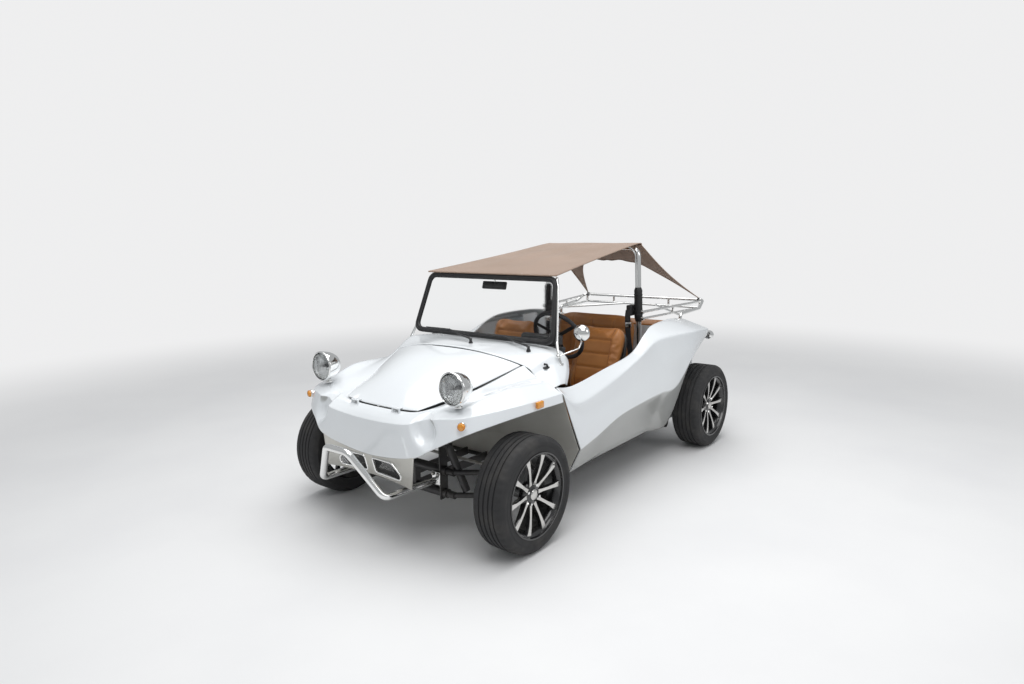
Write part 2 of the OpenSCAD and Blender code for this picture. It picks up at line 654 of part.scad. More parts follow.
// Side bars from the rail's corners to the hoop. Columns: height, radius, inset and drop at the corner.
side_bars = [[rail_top - 20, 10, 6, 12], [rail_low - 5, 8.75, 26, 4]];
function side_bar_front(b) = [hoop_leg_x(b[0]) + hoop_d / 2 + b[1] + seat_fit, hoop_y, b[0]];
function side_bar_back(b) = [rail_half - b[2], rail_y - 10, b[0] + b[3]];
module rear_rail() {
    r = rail_d / 2;
    rail_clamp = 1000;
    foot = [half_w - 200, ra + 55, tub_top + seat_fit];
    half = [[rail_half, rail_y, rail_top], [rail_half + 20, rail_y - 120, rail_low + 10],
        [foot[0] - 30, foot[1], foot[2] + 70], [foot[0] - 30, foot[1], foot[2] + 8]];
    color("silver") {
        bent_tube(concat([for (i = [3:-1:0]) mirrored(half[i])], half), r - facet_in, 30);
        translate([-rail_clamp / 2, rail_y, rail_top]) rotate([0, 90, 0]) cylinder(h = rail_clamp, r = r);
        rod([-rail_half + 22, rail_y, rail_low], [rail_half - 22, rail_y, rail_low], r * 0.8);
        for (x = rail_post_x) rod([x, rail_y, rail_low], [x, rail_y, rail_top], r * 0.7);
        both_sides() {
            rod([rail_half - 26, rail_y, rail_low], [rail_half - 26, rail_y, rail_top], r * 0.8);
            translate([foot[0] - 30, foot[1], foot[2]]) cylinder(h = 8, r = 26);
            rod([150, rail_y, rail_low], [foot[0] - 34, foot[1] + 6, foot[2] + 60], r * 0.7);
            for (b = side_bars) rod(side_bar_front(b), side_bar_back(b), b[1]);
            rod((side_bar_front(side_bars[0]) + side_bar_back(side_bars[0])) / 2,
                (side_bar_front(side_bars[1]) + side_bar_back(side_bars[1])) / 2, r * 0.65);
        }
    }
}

// The cloth top: from the screen over the hoop, then down in two tails to the rail.
// Columns: y and z of the middle, half width at the edge, z of the edge.
top_t = 4;
module canvas_top() {
    front = [screen_y + screen_h * sin(screen_lean), screen_z + screen_h * cos(screen_lean)];
    half_front = screen_w / 2 - screen_h * screen_taper + 6;
    lift = top_t + frame_t / 2 * sin(screen_lean) + seat_fit;
    third = front + ([hoop_y, hoop_z] - front) / 3;
    two_thirds = front + ([hoop_y, hoop_z] - front) * 2 / 3;
    rows = [
        [front[0] - 20, front[1] + lift, half_front, front[1] + lift],
        [third[0], third[1] + 20, half_front - 62, third[1] + 4],
        [two_thirds[0], two_thirds[1] + 12, half_front - 105, two_thirds[1] + 2],
        [hoop_y, hoop_z + top_t - 1.5, hoop_w / 2 - 18, hoop_z + top_t - 1.5],
        [hoop_y + 55, hoop_z - 18, hoop_w / 2 - 14, hoop_z - 20],
        [hoop_y + 150, hoop_z - 80, hoop_w / 2 - 4, hoop_z - 84]];
    outer = [for (r = rows) [for (s = [-1, -0.6, 0, 0.6, 1])
        [s * r[2], r[0], r[1] + (r[3] - r[1]) * s * s]]];
    color("tan") {
        skin(outer, top_t);
        both_sides() hull() {
            translate([hoop_w / 2 - 42, hoop_y + 144, hoop_z - 91]) cube([36, 4, 9]);
            translate([rail_half - 60, rail_y - 12, rail_top + rail_d / 2 + seat_fit]) cube([24, 4, 4]);
        }
    }
}

// ---------------------------------------------------------------- running gear
kp_x = front_track / 2 - kingpin_in;
beam_y = fa - 135;
beam_r = 26;
beam_half = 330;
knuckle_h = 74;
module front_axle() {
    arm_x = beam_half + 22;
    color("black") {
        for (z = [-66, 66]) translate([-beam_half, beam_y, axle_z + z]) rotate([0, 90, 0])
            cylinder(h = 2 * beam_half, r = beam_r);
        both_sides() {
            block([tower_x - 8, beam_y - 30, axle_z - 100], [tower_x, beam_y + 30, arch_z - 110]);
            for (z = [-66, 66]) {
                rod([beam_half, beam_y, axle_z + z], [arm_x + 30, beam_y, axle_z + z], 20);
                rod([arm_x + 16, beam_y, axle_z + z], [kp_x - 52, fa, axle_z + z], 15);
                rod([kp_x - 62, fa, axle_z + z], [kp_x - 25 - seat_fit, fa, axle_z + z], 15);
            }
            rod([tower_x + 34, beam_y + 6, arch_z - 150], [arm_x + 62, beam_y + 58, axle_z - 48], 22);
            block([tower_x - 1, beam_y - 20, arch_z - 160], [tower_x + 50, beam_y + 24, arch_z - 138]);
        }
        block([-90, beam_y - 20, axle_z - 66], [90, beam_y + 20, axle_z + 66]);
        both_sides() block([78, beam_y, pan_z - 5], [90, pan_front - seat_fit, pan_z + 45]);
    }
}
steer_z = axle_z + 34;
module knuckle() {
    arm_in = 26;
    color("dimgray") {
        translate([kp_x, fa, axle_z - knuckle_h]) cylinder(h = 2 * knuckle_h, r = 25);
        rod([kp_x, fa, axle_z], [front_track / 2 + 20, fa, axle_z], spindle_r);
        rod([kp_x + 20, fa, axle_z], [kp_x + 46, fa, axle_z], 40);
        rod([kp_x - 4, fa + 12, steer_z - 14], [kp_x - arm_in, fa + steer_arm, steer_z - 14], 12);
        translate([kp_x - arm_in, fa + steer_arm, steer_z - 26]) cylinder(h = 24, r = 16);
    }
}
module knuckle_left() {
    knuckle();
}
module knuckle_right() {
    mirror([1, 0, 0]) knuckle();
}
module tie_rods() {
    arm_in = 26;
    z = steer_z + seat_fit - 2 + 13;
    color("gray") {
        rod([-(kp_x - arm_in), fa + steer_arm, z], [kp_x - arm_in, fa + steer_arm, z], 9);
        both_sides() translate([kp_x - arm_in, fa + steer_arm, z - 13]) cylinder(h = 26, r = 15);
    }
}

rear_hub_x = rear_track / 2 - 150;
module rear_axle() {
    box_half = 115;
    tube_r = 34;
    torsion_y = ra - 260;
    torsion_r = 36;
    torsion_z = pan_z - torsion_r - seat_fit;
    color("black") {
        block([-box_half, ra - 205, axle_z - 120], [box_half, ra + 60, axle_z + 110]);
        translate([-rear_hub_x, ra, axle_z]) rotate([0, 90, 0]) cylinder(h = 2 * rear_hub_x, r = tube_r);
        both_sides() {
            translate([rear_hub_x - 1, ra, axle_z]) rotate([0, 90, 0]) cylinder(h = 34, r = 92);
            translate([rear_hub_x, ra, axle_z]) rotate([0, 90, 0])
                cylinder(h = rear_track / 2 - rear_hub_x + 20, r = spindle_r);
            rod([rear_hub_x - 45, torsion_y, torsion_z], [rear_hub_x - 45, ra, axle_z - 10], 20);
            rod([damper_x, ra, axle_z - 10], [damper_x, damper_y, axle_z - 10], 24);
            rod([damper_x, damper_y, axle_z - 30], [damper_x, damper_y, arch_z - 60 - seat_fit], 22);
        }
        translate([-(rear_hub_x - 15), torsion_y, torsion_z]) rotate([0, 90, 0])
            cylinder(h = 2 * (rear_hub_x - 15), r = torsion_r);
    }
}

engine_y = ra + 60 + seat_fit;
module engine() {
    color("gray") block([-330, engine_y, axle_z - 110], [330, rear_y - 60, axle_z + 330]);
}
module exhaust() {
    pipe_z = axle_z - 150;
    color("silver") {
        translate([-260, rear_y - 110, pipe_z]) rotate([0, 90, 0]) cylinder(h = 520, r = 38);
        both_sides() {
            rod([150, rear_y - 110, pipe_z], [150, rear_y - 12, pipe_z - 6], 18);
            rod([200, rear_y - 110, pipe_z], [200, rear_y - 110, axle_z - 110 - seat_fit], 18);
        }
    }
}

// Wheel about the X axis, its outer face towards +X
module rim(w) {
    lip = rim_d / 2;
    well = lip - 34;
    half = w / 2 - 4;
    disc_x = half - 28;
    hub_r = 78;
    spokes = 10;
    profile = [[-half, lip], [-half, lip - 8], [-half + 26, well - 2], [half - 60, well - 2],
        [half - 22, well + 2], [half - 14, lip - 14], [half, lip - 10], [half, lip], [half - 8, lip],
        [half - 16, lip - 13], [half - 56, well + 4],
        [-half + 30, well + 4], [-half + 12, lip - 6], [-half + 8, lip]];
    color("silver") difference() {
        rotate([0, 90, 0]) union() {
            rotate_extrude() polygon([for (p = profile) [p[1], p[0]]]);
            translate([0, 0, disc_x - 16]) cylinder(h = 24, r = hub_r);
            for (i = [0:spokes - 1]) rotate([0, 0, i * 360 / spokes]) translate([0, 0, disc_x - 6])
                linear_extrude(13)
                    polygon([[hub_r - 8, -10], [lip - 27, -15], [lip - 27, 15], [hub_r - 8, 10]]);
            translate([0, 0, -46]) cylinder(h = disc_x + 32, r = 38);
        }
        rotate([0, 90, 0]) {
            translate([0, 0, -60]) cylinder(h = 60 + 20 + 1, r = spindle_r + run_fit);
            for (i = [0:3]) rotate([0, 0, 45 + i * 90]) translate([lug_pcd / 2, 0, disc_x - 30])
                cylinder(h = 60, r = 8);
        }
    }
}
module tyre(w) {
    r = tyre_d / 2;
    lip = rim_d / 2 + seat_fit;
    h = w / 2;
    profile = [[lip, -h + 7], [lip + 14, -h + 5], [lip + (r - lip) / 2, -h], [r - 22, -h + 6],
        [r - 5, -h + 20],
        [r, -h + 42], [r, h - 42], [r - 5, h - 20], [r - 22, h - 6], [lip + (r - lip) / 2, h],
        [lip + 14, h - 5], [lip, h - 7]];
    color("black") rotate([0, 90, 0]) rotate_extrude($fn = 96) polygon(profile);
}
module at_wheel(x, y) {
    translate([abs(x), y, axle_z]) children();
}
module rim_front_left() {
    at_wheel(front_track / 2, fa) rim(front_tyre_w);
}
module tyre_front_left() {
    at_wheel(front_track / 2, fa) tyre(front_tyre_w);
}
module rim_front_right() {
    mirror([1, 0, 0]) rim_front_left();
}
module tyre_front_right() {
    mirror([1, 0, 0]) tyre_front_left();
}
module rim_rear_left() {
    at_wheel(rear_track / 2, ra) rim(rear_tyre_w);
}
module tyre_rear_left() {
    at_wheel(rear_track / 2, ra) tyre(rear_tyre_w);
}
module rim_rear_right() {
    mirror([1, 0, 0]) rim_rear_left();
}
module tyre_rear_right() {
    mirror([1, 0, 0]) tyre_rear_left();
}

floor_pan();
front_bulkhead();
rear_tub();
body_nose();
cowl();
hood();
body_side_left();
body_side_right();
front_valance();
grille_mesh();
nudge_bar();
fuel_tank();
dashboard();
windshield_frame();
windshield_glass();
wipers();
interior_mirror();
side_mirror();
headlights();
headlight_lenses();
amber_lamps();
tail_lamps();
steering_wheel();
steering_column();
front_seat_left();
front_seat_right();
rear_bench();
driver_controls();
roll_hoop();
rear_rail();
canvas_top();
front_axle();
knuckle_left();
knuckle_right();
tie_rods();
rear_axle();
engine();
exhaust();
rim_front_left();
tyre_front_left();
rim_front_right();
tyre_front_right();
rim_rear_left();
tyre_rear_left();
rim_rear_right();
tyre_rear_right();
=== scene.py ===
import math
import bmesh
import bpy
import numpy as np
from mathutils import Matrix, Vector
from mathutils.bvhtree import BVHTree


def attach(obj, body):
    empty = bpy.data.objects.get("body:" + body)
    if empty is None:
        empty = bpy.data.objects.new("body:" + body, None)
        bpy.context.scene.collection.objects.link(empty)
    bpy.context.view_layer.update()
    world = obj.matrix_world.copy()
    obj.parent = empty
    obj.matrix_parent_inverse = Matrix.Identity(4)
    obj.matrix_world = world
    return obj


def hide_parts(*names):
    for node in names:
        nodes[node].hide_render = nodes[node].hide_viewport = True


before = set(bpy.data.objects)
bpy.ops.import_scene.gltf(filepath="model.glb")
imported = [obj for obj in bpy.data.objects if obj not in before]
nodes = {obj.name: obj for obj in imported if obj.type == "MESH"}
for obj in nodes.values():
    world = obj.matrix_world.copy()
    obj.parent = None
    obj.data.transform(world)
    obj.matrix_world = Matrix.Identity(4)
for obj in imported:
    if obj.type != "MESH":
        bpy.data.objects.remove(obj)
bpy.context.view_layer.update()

scene = bpy.context.scene
scene.view_settings.view_transform = "Standard"

# ---------------------------------------------------------------- camera and stage
# Where the photograph was taken from: heading, tilt, place in metres and focal length for a 36 mm wide sensor
YAW, PITCH, ROLL = math.radians(38.58), math.radians(9.483), math.radians(-1.102)
cam_data = bpy.data.cameras.new("camera")
cam_data.sensor_width = 36
cam_data.lens = 24.024375
cam_data.clip_end = 200
camera = bpy.data.objects.new("camera", cam_data)
scene.collection.objects.link(camera)
scene.camera = camera
back = Vector((math.sin(YAW) * math.cos(PITCH), -math.cos(YAW) * math.cos(PITCH), math.sin(PITCH)))
right = Vector((math.cos(YAW), math.sin(YAW), 0))
up = back.cross(right)
cam_x = right * math.cos(ROLL) + up * math.sin(ROLL)
cam_y = up * math.cos(ROLL) - right * math.sin(ROLL)
camera.matrix_world = Matrix.Translation((2.879, -3.782,
                                          1.706)) @ Matrix((cam_x, cam_y, back)).transposed().to_4x4()


# ---------------------------------------------------------------- materials
def rgba(c):
    """A colour, or a grey given as one number, with full alpha."""
    return (*c, 1) if hasattr(c, "__len__") else (c, c, c, 1)


class Mat:
    """A Principled material whose colour, roughness and bump come from small procedural chains."""

    def __init__(self, name, color, rough, **sockets):
        self.m = bpy.data.materials.new(name)
        self.m.use_nodes = True
        self.t = self.m.node_tree
        self.b = self.t.nodes["Principled BSDF"]
        self.color = color
        self.b.inputs["Base Color"].default_value = rgba(color)
        self.b.inputs["Roughness"].default_value = rough
        for k, v in sockets.items():
            self.b.inputs[k.replace("_", " ")].default_value = v
        self.co = self.t.nodes.new("ShaderNodeTexCoord")
        self.last = None

    def wire(self, source, target):
        self.t.links.new(source, target)

    def node(self, kind, **props):
        n = self.t.nodes.new("ShaderNode" + kind)
        for k, v in props.items():
            if k in n.inputs:
                n.inputs[k].default_value = v
            else:
                setattr(n, k, v)
        return n

    def noise(self, scale, detail=4, space="Object", stretch=(1, 1, 1)):
        mp = self.node("Mapping")
        mp.inputs["Scale"].default_value = stretch
        self.wire(self.co.outputs[space], mp.inputs["Vector"])
        n = self.node("TexNoise", Scale=scale, Detail=detail)
        self.wire(mp.outputs[0], n.inputs["Vector"])
        return n.outputs["Fac"]

    def ramp(self, fac, low, high, a=0.35, b=0.65):
        r = self.node("ValToRGB")
        r.color_ramp.elements[0].position = a
        r.color_ramp.elements[1].position = b
        r.color_ramp.elements[0].color = rgba(low)
        r.color_ramp.elements[1].color = rgba(high)
        self.wire(fac, r.inputs["Fac"])
        return r.outputs["Color"]

    def vary(self, other, scale, a=0.4, b=0.7, stretch=(1, 1, 1)):
        self.wire(self.ramp(self.noise(scale, 5, stretch=stretch), self.color, other, a, b),
                  self.b.inputs["Base Color"])
        return self

    def roughness(self, low, high, scale):
        self.wire(self.ramp(self.noise(scale, 3), low, high), self.b.inputs["Roughness"])
        return self

    def bump(self, height, strength, distance=0.001):
        n = self.node("Bump", Strength=strength, Distance=distance)
        self.wire(height, n.inputs["Height"])
        if self.last:
            self.wire(self.last, n.inputs["Normal"])
        self.last = n.outputs["Normal"]
        self.wire(self.last, self.b.inputs["Normal"])
        return self

    def wave(self, scale, direction, space="Object", profile="SIN"):
        n = self.node("TexWave", Scale=scale, bands_direction=direction, wave_profile=profile)
        self.wire(self.co.outputs[space], n.inputs["Vector"])
        return n.outputs["Fac"]

    def voronoi(self, scale, feature="F1"):
        n = self.node("TexVoronoi", Scale=scale, feature=feature)
        self.wire(self.co.outputs["Object"], n.inputs["Vector"])
        return n.outputs["Distance"]


def overlay(m, value, start, end, color, strength, grain=None, **props):
    """Lays a colour over the base colour, from nothing where value is start to full strength at end."""
    fade = m.node("MapRange", **props)
    for socket, v in (("From Min", start), ("From Max", end), ("To Max", strength)):
        fade.inputs[socket].default_value = v
    m.wire(value, fade.inputs["Value"])
    mask = fade.outputs[0]
    if grain:
        product = m.node("Math", operation="MULTIPLY")
        m.wire(mask, product.inputs[0])
        m.wire(grain, product.inputs[1])
        mask = product.outputs[0]
    mix = m.node("Mix", data_type="RGBA")
    m.wire(mask, mix.inputs["Factor"])
    m.wire(m.b.inputs["Base Color"].links[0].from_socket, mix.inputs["A"])
    mix.inputs["B"].default_value = rgba(color)
    m.wire(mix.outputs["Result"], m.b.inputs["Base Color"])


def height_of(m, vector):
    """The z of a vector socket."""
    parts = m.node("SeparateXYZ")
    m.wire(vector, parts.inputs[0])
    return parts.outputs["Z"]


def low_dust_and_shade(m, color, top, strength):
    """Road dust and painted shade that gather towards the ground, over the 0.35 m below top: a lighter colour reads
    as dust, a darker one as painted shade.
    """
    overlay(m, height_of(m, m.co.outputs["Object"]), top, top - 0.35, color, strength, m.noise(9, 6))


def painted_underside_shade(m, color, strength):
    """Painted shade: a darker colour on faces that look down."""
    normal = m.node("NewGeometry").outputs["Normal"]
    overlay(m, height_of(m, normal), -0.06, -0.36, color, strength, interpolation_type="SMOOTHSTEP")


gelcoat = Mat("gelcoat_white", (0.80, 0.83, 0.85), 0.16, Coat_Weight=0.6, Coat_Roughness=0.05)
gelcoat.vary((0.77, 0.80, 0.83), 1.3).bump(gelcoat.noise(260, 2), 0.05, 0.0004)
# Painted shade: the white gelcoat darkens towards the ground below 0.62 m, mottled like dust
low_dust_and_shade(gelcoat, (0.55, 0.53, 0.50), 0.62, 0.45)
# Painted shade on the gelcoat's downward faces, such as the lower flank under its crease
painted_underside_shade(gelcoat, (0.30, 0.30, 0.28), 0.8)
# A darker copy of the white gelcoat: painted shade, for the valance and the wheel-well wall
shaded = Mat("gelcoat_painted_shade", (0.60, 0.59, 0.55), 0.4)
shaded.vary((0.50, 0.49, 0.45), 2.5).bump(shaded.noise(200, 3), 0.08, 0.0005)
# Painted shade: the grey copy darkens further towards the ground
low_dust_and_shade(shaded, (0.25, 0.23, 0.20), 0.60, 0.5)
chrome = Mat("chrome", (0.86, 0.86, 0.85), 0.06, Metallic=1.0)
chrome.roughness(0.04, 0.12, 14).bump(chrome.noise(900, 2), 0.02, 0.0002)
steel = Mat("brushed_steel", (0.46, 0.45, 0.43), 0.4, Metallic=1.0)
steel.vary((0.36, 0.34, 0.31), 22).bump(steel.noise(300, 4, stretch=(1, 8, 8)), 0.1, 0.0004)
black = Mat("black_paint", (0.018, 0.018, 0.02), 0.38)
black.vary((0.035, 0.033, 0.03), 11).bump(black.noise(420, 3), 0.12, 0.0004)
low_dust_and_shade(black, (0.10, 0.09, 0.08), 0.55, 0.25)
pan_paint = Mat("pan_black", (0.022, 0.022, 0.022), 0.6)
pan_paint.vary((0.05, 0.046, 0.042), 5).bump(pan_paint.noise(160, 5), 0.25, 0.001)
rubber = Mat("rubber_black", (0.014, 0.014, 0.015), 0.48)
rubber.roughness(0.38, 0.6, 30).bump(rubber.noise(700, 2), 0.1, 0.0003)
plastic = Mat("black_plastic", (0.02, 0.02, 0.021), 0.5)
plastic.vary((0.032, 0.032, 0.033), 40).bump(plastic.voronoi(650), 0.22, 0.0004)
leather = Mat("tan_leather", (0.45, 0.185, 0.050), 0.42, Coat_Weight=0.12, Coat_Roughness=0.35)
leather.vary((0.32, 0.12, 0.032), 6, 0.35, 0.8).roughness(0.36, 0.52, 12)
leather.bump(leather.voronoi(420), 0.28, 0.0006).bump(leather.noise(60, 5), 0.18, 0.0012)
piping = Mat("tan_piping", (0.30, 0.115, 0.03), 0.45)
piping.vary((0.2, 0.075, 0.02), 30).bump(piping.noise(500, 2), 0.15, 0.0004)
canvas = Mat("tan_canvas", (0.315, 0.22, 0.165), 0.9, Sheen_Weight=0.25, Sheen_Roughness=0.5)
canvas.vary((0.26, 0.18, 0.13), 3.2, 0.3, 0.8)
canvas.bump(canvas.wave(520, "X"), 0.35, 0.0005).bump(canvas.wave(520, "Y"), 0.35, 0.0005)
canvas.bump(canvas.noise(7, 4, stretch=(1, 0.35, 1)), 0.55, 0.006)
glass = Mat("window_glass", (0.93, 0.97, 0.96), 0.02, Transmission_Weight=1.0, IOR=1.01, Alpha=0.22)
glass.b.inputs["Specular IOR Level"].default_value = 0.5
glass.bump(glass.noise(1.6, 2), 0.03, 0.001)
lens = Mat("lamp_lens", (0.92, 0.94, 0.95), 0.04, Transmission_Weight=1.0, IOR=1.4)
lens.bump(lens.wave(46, "X"), 0.7, 0.003)
amber = Mat("amber_lens", (0.75, 0.30, 0.015), 0.12, Coat_Weight=0.8, Subsurface_Weight=0.15,
            Subsurface_Scale=0.01)
amber.vary((0.55, 0.19, 0.01), 60).bump(amber.wave(90, "X"), 0.5, 0.001)
red = Mat("red_lens", (0.36, 0.012, 0.01), 0.12, Coat_Weight=0.8)
red.vary((0.25, 0.008, 0.008), 60).bump(red.wave(90, "X"), 0.5, 0.001)
alloy = Mat("machined_alloy", (0.62, 0.61, 0.59), 0.24, Metallic=1.0)
alloy.roughness(0.2, 0.34, 20).bump(alloy.noise(240, 2, stretch=(1, 0.2, 1)), 0.12, 0.0004)
rim_black = Mat("rim_black", (0.012, 0.012, 0.013), 0.2, Coat_Weight=0.5)
rim_black.vary((0.03, 0.029, 0.028), 15).bump(rim_black.noise(500, 2), 0.05, 0.0003)
tyre_rubber = Mat("tyre_rubber", (0.024, 0.024, 0.025), 0.78)
tyre_rubber.vary((0.05, 0.047, 0.044), 9, 0.45, 0.8).bump(tyre_rubber.noise(330, 4), 0.35, 0.0008)
mirror = Mat("mirror_glass", (0.9, 0.9, 0.9), 0.02, Metallic=1.0)
mirror.bump(mirror.noise(3, 1), 0.02, 0.0005)
webbing = Mat("black_webbing", (0.02, 0.02, 0.022), 0.75)
webbing.vary((0.035, 0.035, 0.04), 30).bump(webbing.wave(420, "DIAGONAL"), 0.5, 0.0006)
engine_grey = Mat("engine_castings", (0.20, 0.20, 0.19), 0.5, Metallic=0.6)
engine_grey.vary((0.13, 0.12, 0.11), 12).bump(engine_grey.noise(120, 5), 0.3, 0.001)


# ---------------------------------------------------------------- mesh helpers
def link(me, name, mats, smooth=True, sharp=40):
    me.update()
    o = bpy.data.objects.new(name, me)
    scene.collection.objects.link(o)
    for m in (mats if isinstance(mats, (list, tuple)) else [mats]):
        me.materials.append(m.m)
    for p in me.polygons:
        p.use_smooth = smooth
    if smooth and sharp:
        me.set_sharp_from_angle(angle=math.radians(sharp))
    return o


def mesh(name, verts, faces, mats, smooth=True, sharp=40):
    me = bpy.data.meshes.new(name)
    me.from_pydata([tuple(map(float, v)) for v in verts], [], [tuple(f) for f in faces])
    return link(me, name, mats, smooth, sharp)


def turned(degrees, axis):
    return Matrix.Rotation(math.radians(degrees), 4, axis)


def circle(count, r):
    """Points of a circle about the origin, as pairs."""
    return [(r * math.cos(a), r * math.sin(a)) for a in np.linspace(0, 2 * math.pi, count, endpoint=False)]


def outward(o, weld=0):
    """Turns a piece's faces outwards, after welding points that lie closer than weld."""
    bm = bmesh.new()
    bm.from_mesh(o.data)
    if weld:
        bmesh.ops.remove_doubles(bm, verts=bm.verts, dist=weld)
    bmesh.ops.recalc_face_normals(bm, faces=bm.faces)
    bm.to_mesh(o.data)
    bm.free()
    return o


def apply(o):
    """Turns an object's modifiers into its mesh."""
    deps = bpy.context.evaluated_depsgraph_get()
    me = bpy.data.meshes.new_from_object(o.evaluated_get(deps))
    o.modifiers.clear()
    o.data = me
    return o


def join(name, objs):
    """One object from several, with their modifiers applied and their materials kept."""
    bm = bmesh.new()
    mats = []
    deps = bpy.context.evaluated_depsgraph_get()
    for o in objs:
        me = bpy.data.meshes.new_from_object(o.evaluated_get(deps))
        me.transform(o.matrix_world)
        if o.matrix_world.determinant() < 0:
            me.flip_normals()
        index = []
        for m in me.materials:
            if m not in mats:
                mats.append(m)
            index.append(mats.index(m))
        start = len(bm.faces)
        bm.from_mesh(me)
        bm.faces.ensure_lookup_table()
        for f in bm.faces[start:]:
            f.material_index = index[min(f.material_index, len(index) - 1)] if index else 0
    out = bpy.data.meshes.new(name)
    bm.to_mesh(out)
    bm.free()
    for o in objs:
        bpy.data.objects.remove(o)
    o = bpy.data.objects.new(name, out)
    scene.collection.objects.link(o)
    for m in mats:
        out.materials.append(m)
    return o


def mod(o, kind, **props):
    m = o.modifiers.new(kind.lower(), kind)
    for k, v in props.items():
        setattr(m, k, v)
    return o


def curve4(a, b, c, d, u):
    """The smooth curve through b and c, at u from 0 to 1 between them."""
    return 0.5 * (2 * b + (c - a) * u + (2 * a - 5 * b + 4 * c - d) * u * u + (3 * b - a - 3 * c + d) * u ** 3)


def along(g, t):
    """A point of the smooth curve through the points g, at t from 0 to 1."""
    n = len(g)
    s = t * (n - 1)
    i = min(n - 2, int(math.floor(s)))
    return curve4(g[max(0, i - 1)], g[i], g[i + 1], g[min(n - 1, i + 2)], s - i)


def loft(guides, steps):
    """Rows of points across several guide curves."""
    return np.array([[along(g, k / steps) for g in guides] for k in range(steps + 1)])


def supported(grid, near, more=()):
    """Adds a column each side of every inner line, so that a subdivision rounds it by a known amount."""
    cols = []
    m = grid.shape[1]
    for j in range(m - 1):
        a, b = grid[:, j], grid[:, j + 1]
        lo = near[j] if hasattr(near, "__len__") else near
        hi = near[j + 1] if hasattr(near, "__len__") else near
        cols += [a, a * (1 - lo) + b * lo] + [a * (1 - t) + b * t
                                              for t in (more if j == 0 else ())] + [a * hi + b * (1 - hi)]
    cols.append(grid[:, -1])
    return np.stack(cols, 1)


def grid_faces(n, m, closed=False):
    wrap = m if closed else m - 1
    return [(i * m + j, (i + 1) * m + j, (i + 1) * m + (j + 1) % m, i * m + (j + 1) % m)
            for i in range(n - 1) for j in range(wrap)]


def panel(name, grid, mat, thick=0.008, near=0.2, levels=1):
    """A moulded skin of one thickness over a grid of points."""
    g = supported(grid, near) if near is not None else grid
    n, m = g.shape[:2]
    o = mesh(name, g.reshape(-1, 3), grid_faces(n, m), mat, sharp=None)
    mod(o, "SOLIDIFY", thickness=thick, offset=-1, edge_crease_rim=0.7, use_even_offset=False)
    mod(o, "SUBSURF", levels=levels, render_levels=levels)
    return apply(o)


def unit(v):
    return v / np.linalg.norm(v)


def arc_path(path, bend, steps=8):
    """A bent tube's middle line: straight runs joined by arcs of one radius."""
    path = [np.array(p, float) for p in path]
    out = [path[0]]
    for i in range(1, len(path) - 1):
        f, t = unit(path[i - 1] - path[i]), unit(path[i + 1] - path[i])
        turn = math.pi - math.acos(np.clip(f @ t, -1, 1))
        cut = bend * math.tan(turn / 2)
        mid = path[i] + unit(f + t) * bend / math.cos(turn / 2)
        a, b = path[i] + f * cut - mid, path[i] + t * cut - mid
        out += [mid + (a * math.sin(turn * (1 - k / steps)) + b * math.sin(turn * k / steps)) / math.sin(turn)
                for k in range(steps + 1)]
    return out + [path[-1]]


def tube(name, pts, r, mat, sides=20, closed=False, caps=True):
    """A swept tube. r is one radius, or one for each point."""
    pts = [np.array(p, float) for p in pts]
    n = len(pts)
    rr = r if hasattr(r, "__len__") else [r] * n
    way = [unit(pts[(i + 1) % n] - pts[i]) for i in range(n if closed else n - 1)]
    tan = [unit(way[i - 1] + way[i]) if closed or 0 < i < n - 1 else way[0 if i == 0 else -1] for i in range(n)]
    side = unit(np.cross(tan[0], [0.31, 0.87, 0.38]))
    rings = []
    for i in range(n):
        side = unit(side - tan[i] * (side @ tan[i]))
        other = np.cross(tan[i], side)
        rings.append([pts[i] + rr[i] * (side * math.cos(a) + other * math.sin(a))
                      for a in np.linspace(0, 2 * math.pi, sides, endpoint=False)])
    verts = [p for ring in rings for p in ring]
    faces = [tuple(reversed(f)) for f in grid_faces(n, sides, True)]
    if closed:
        faces += [((n - 1) * sides + j, (n - 1) * sides + (j + 1) % sides, (j + 1) % sides, j)
                  for j in range(sides)]
    elif caps:
        faces += [tuple(range(sides - 1, -1, -1)), tuple((n - 1) * sides + j for j in range(sides))]
    return mesh(name, verts, faces, mat)


def revolve(name, profile, mats, at=(0, 0, 0), axis="X", segs=64, pick=None, sharp=35):
    """profile = [(radius, distance along the axis), ...]; pick(k) gives each band's material."""
    turn = {"X": turned(90, "Y"), "Y": turned(90, "X"),
            "Z": Matrix.Identity(4)}[axis] if isinstance(axis, str) else axis
    place = Matrix.Translation(at) @ turn
    verts = []
    for r, h in profile:
        for k in range(segs):
            a = 2 * math.pi * k / segs
            verts.append(place @ Vector((r * math.cos(a), r * math.sin(a), h)))
    n = len(profile)
    faces = [tuple(reversed(f)) for f in grid_faces(n, segs, True)]
    o = mesh(name, verts, faces, mats, sharp=sharp)
    if pick:
        for f, p in enumerate(o.data.polygons):
            p.material_index = pick(f // segs)
    return outward(o, 1e-6)


def rounded(corners, steps=8):
    """A closed outline from corners (x, y, radius)."""
    out = []
    n = len(corners)
    for i, (x, y, r) in enumerate(corners):
        p = np.array([x, y])
        a = unit(np.array(corners[i - 1][:2]) - p)
        b = unit(np.array(corners[(i + 1) % n][:2]) - p)
        half = math.acos(np.clip(a @ b, -1, 1)) / 2
        mid = p + unit(a + b) * r / math.sin(half)
        f, t = p + a * r / math.tan(half) - mid, p + b * r / math.tan(half) - mid
        w = math.pi - 2 * half
        out += [mid + (f * math.sin(w * (1 - k / steps)) + t * math.sin(w * k / steps)) / math.sin(w)
                for k in range(steps + 1)]
    return out


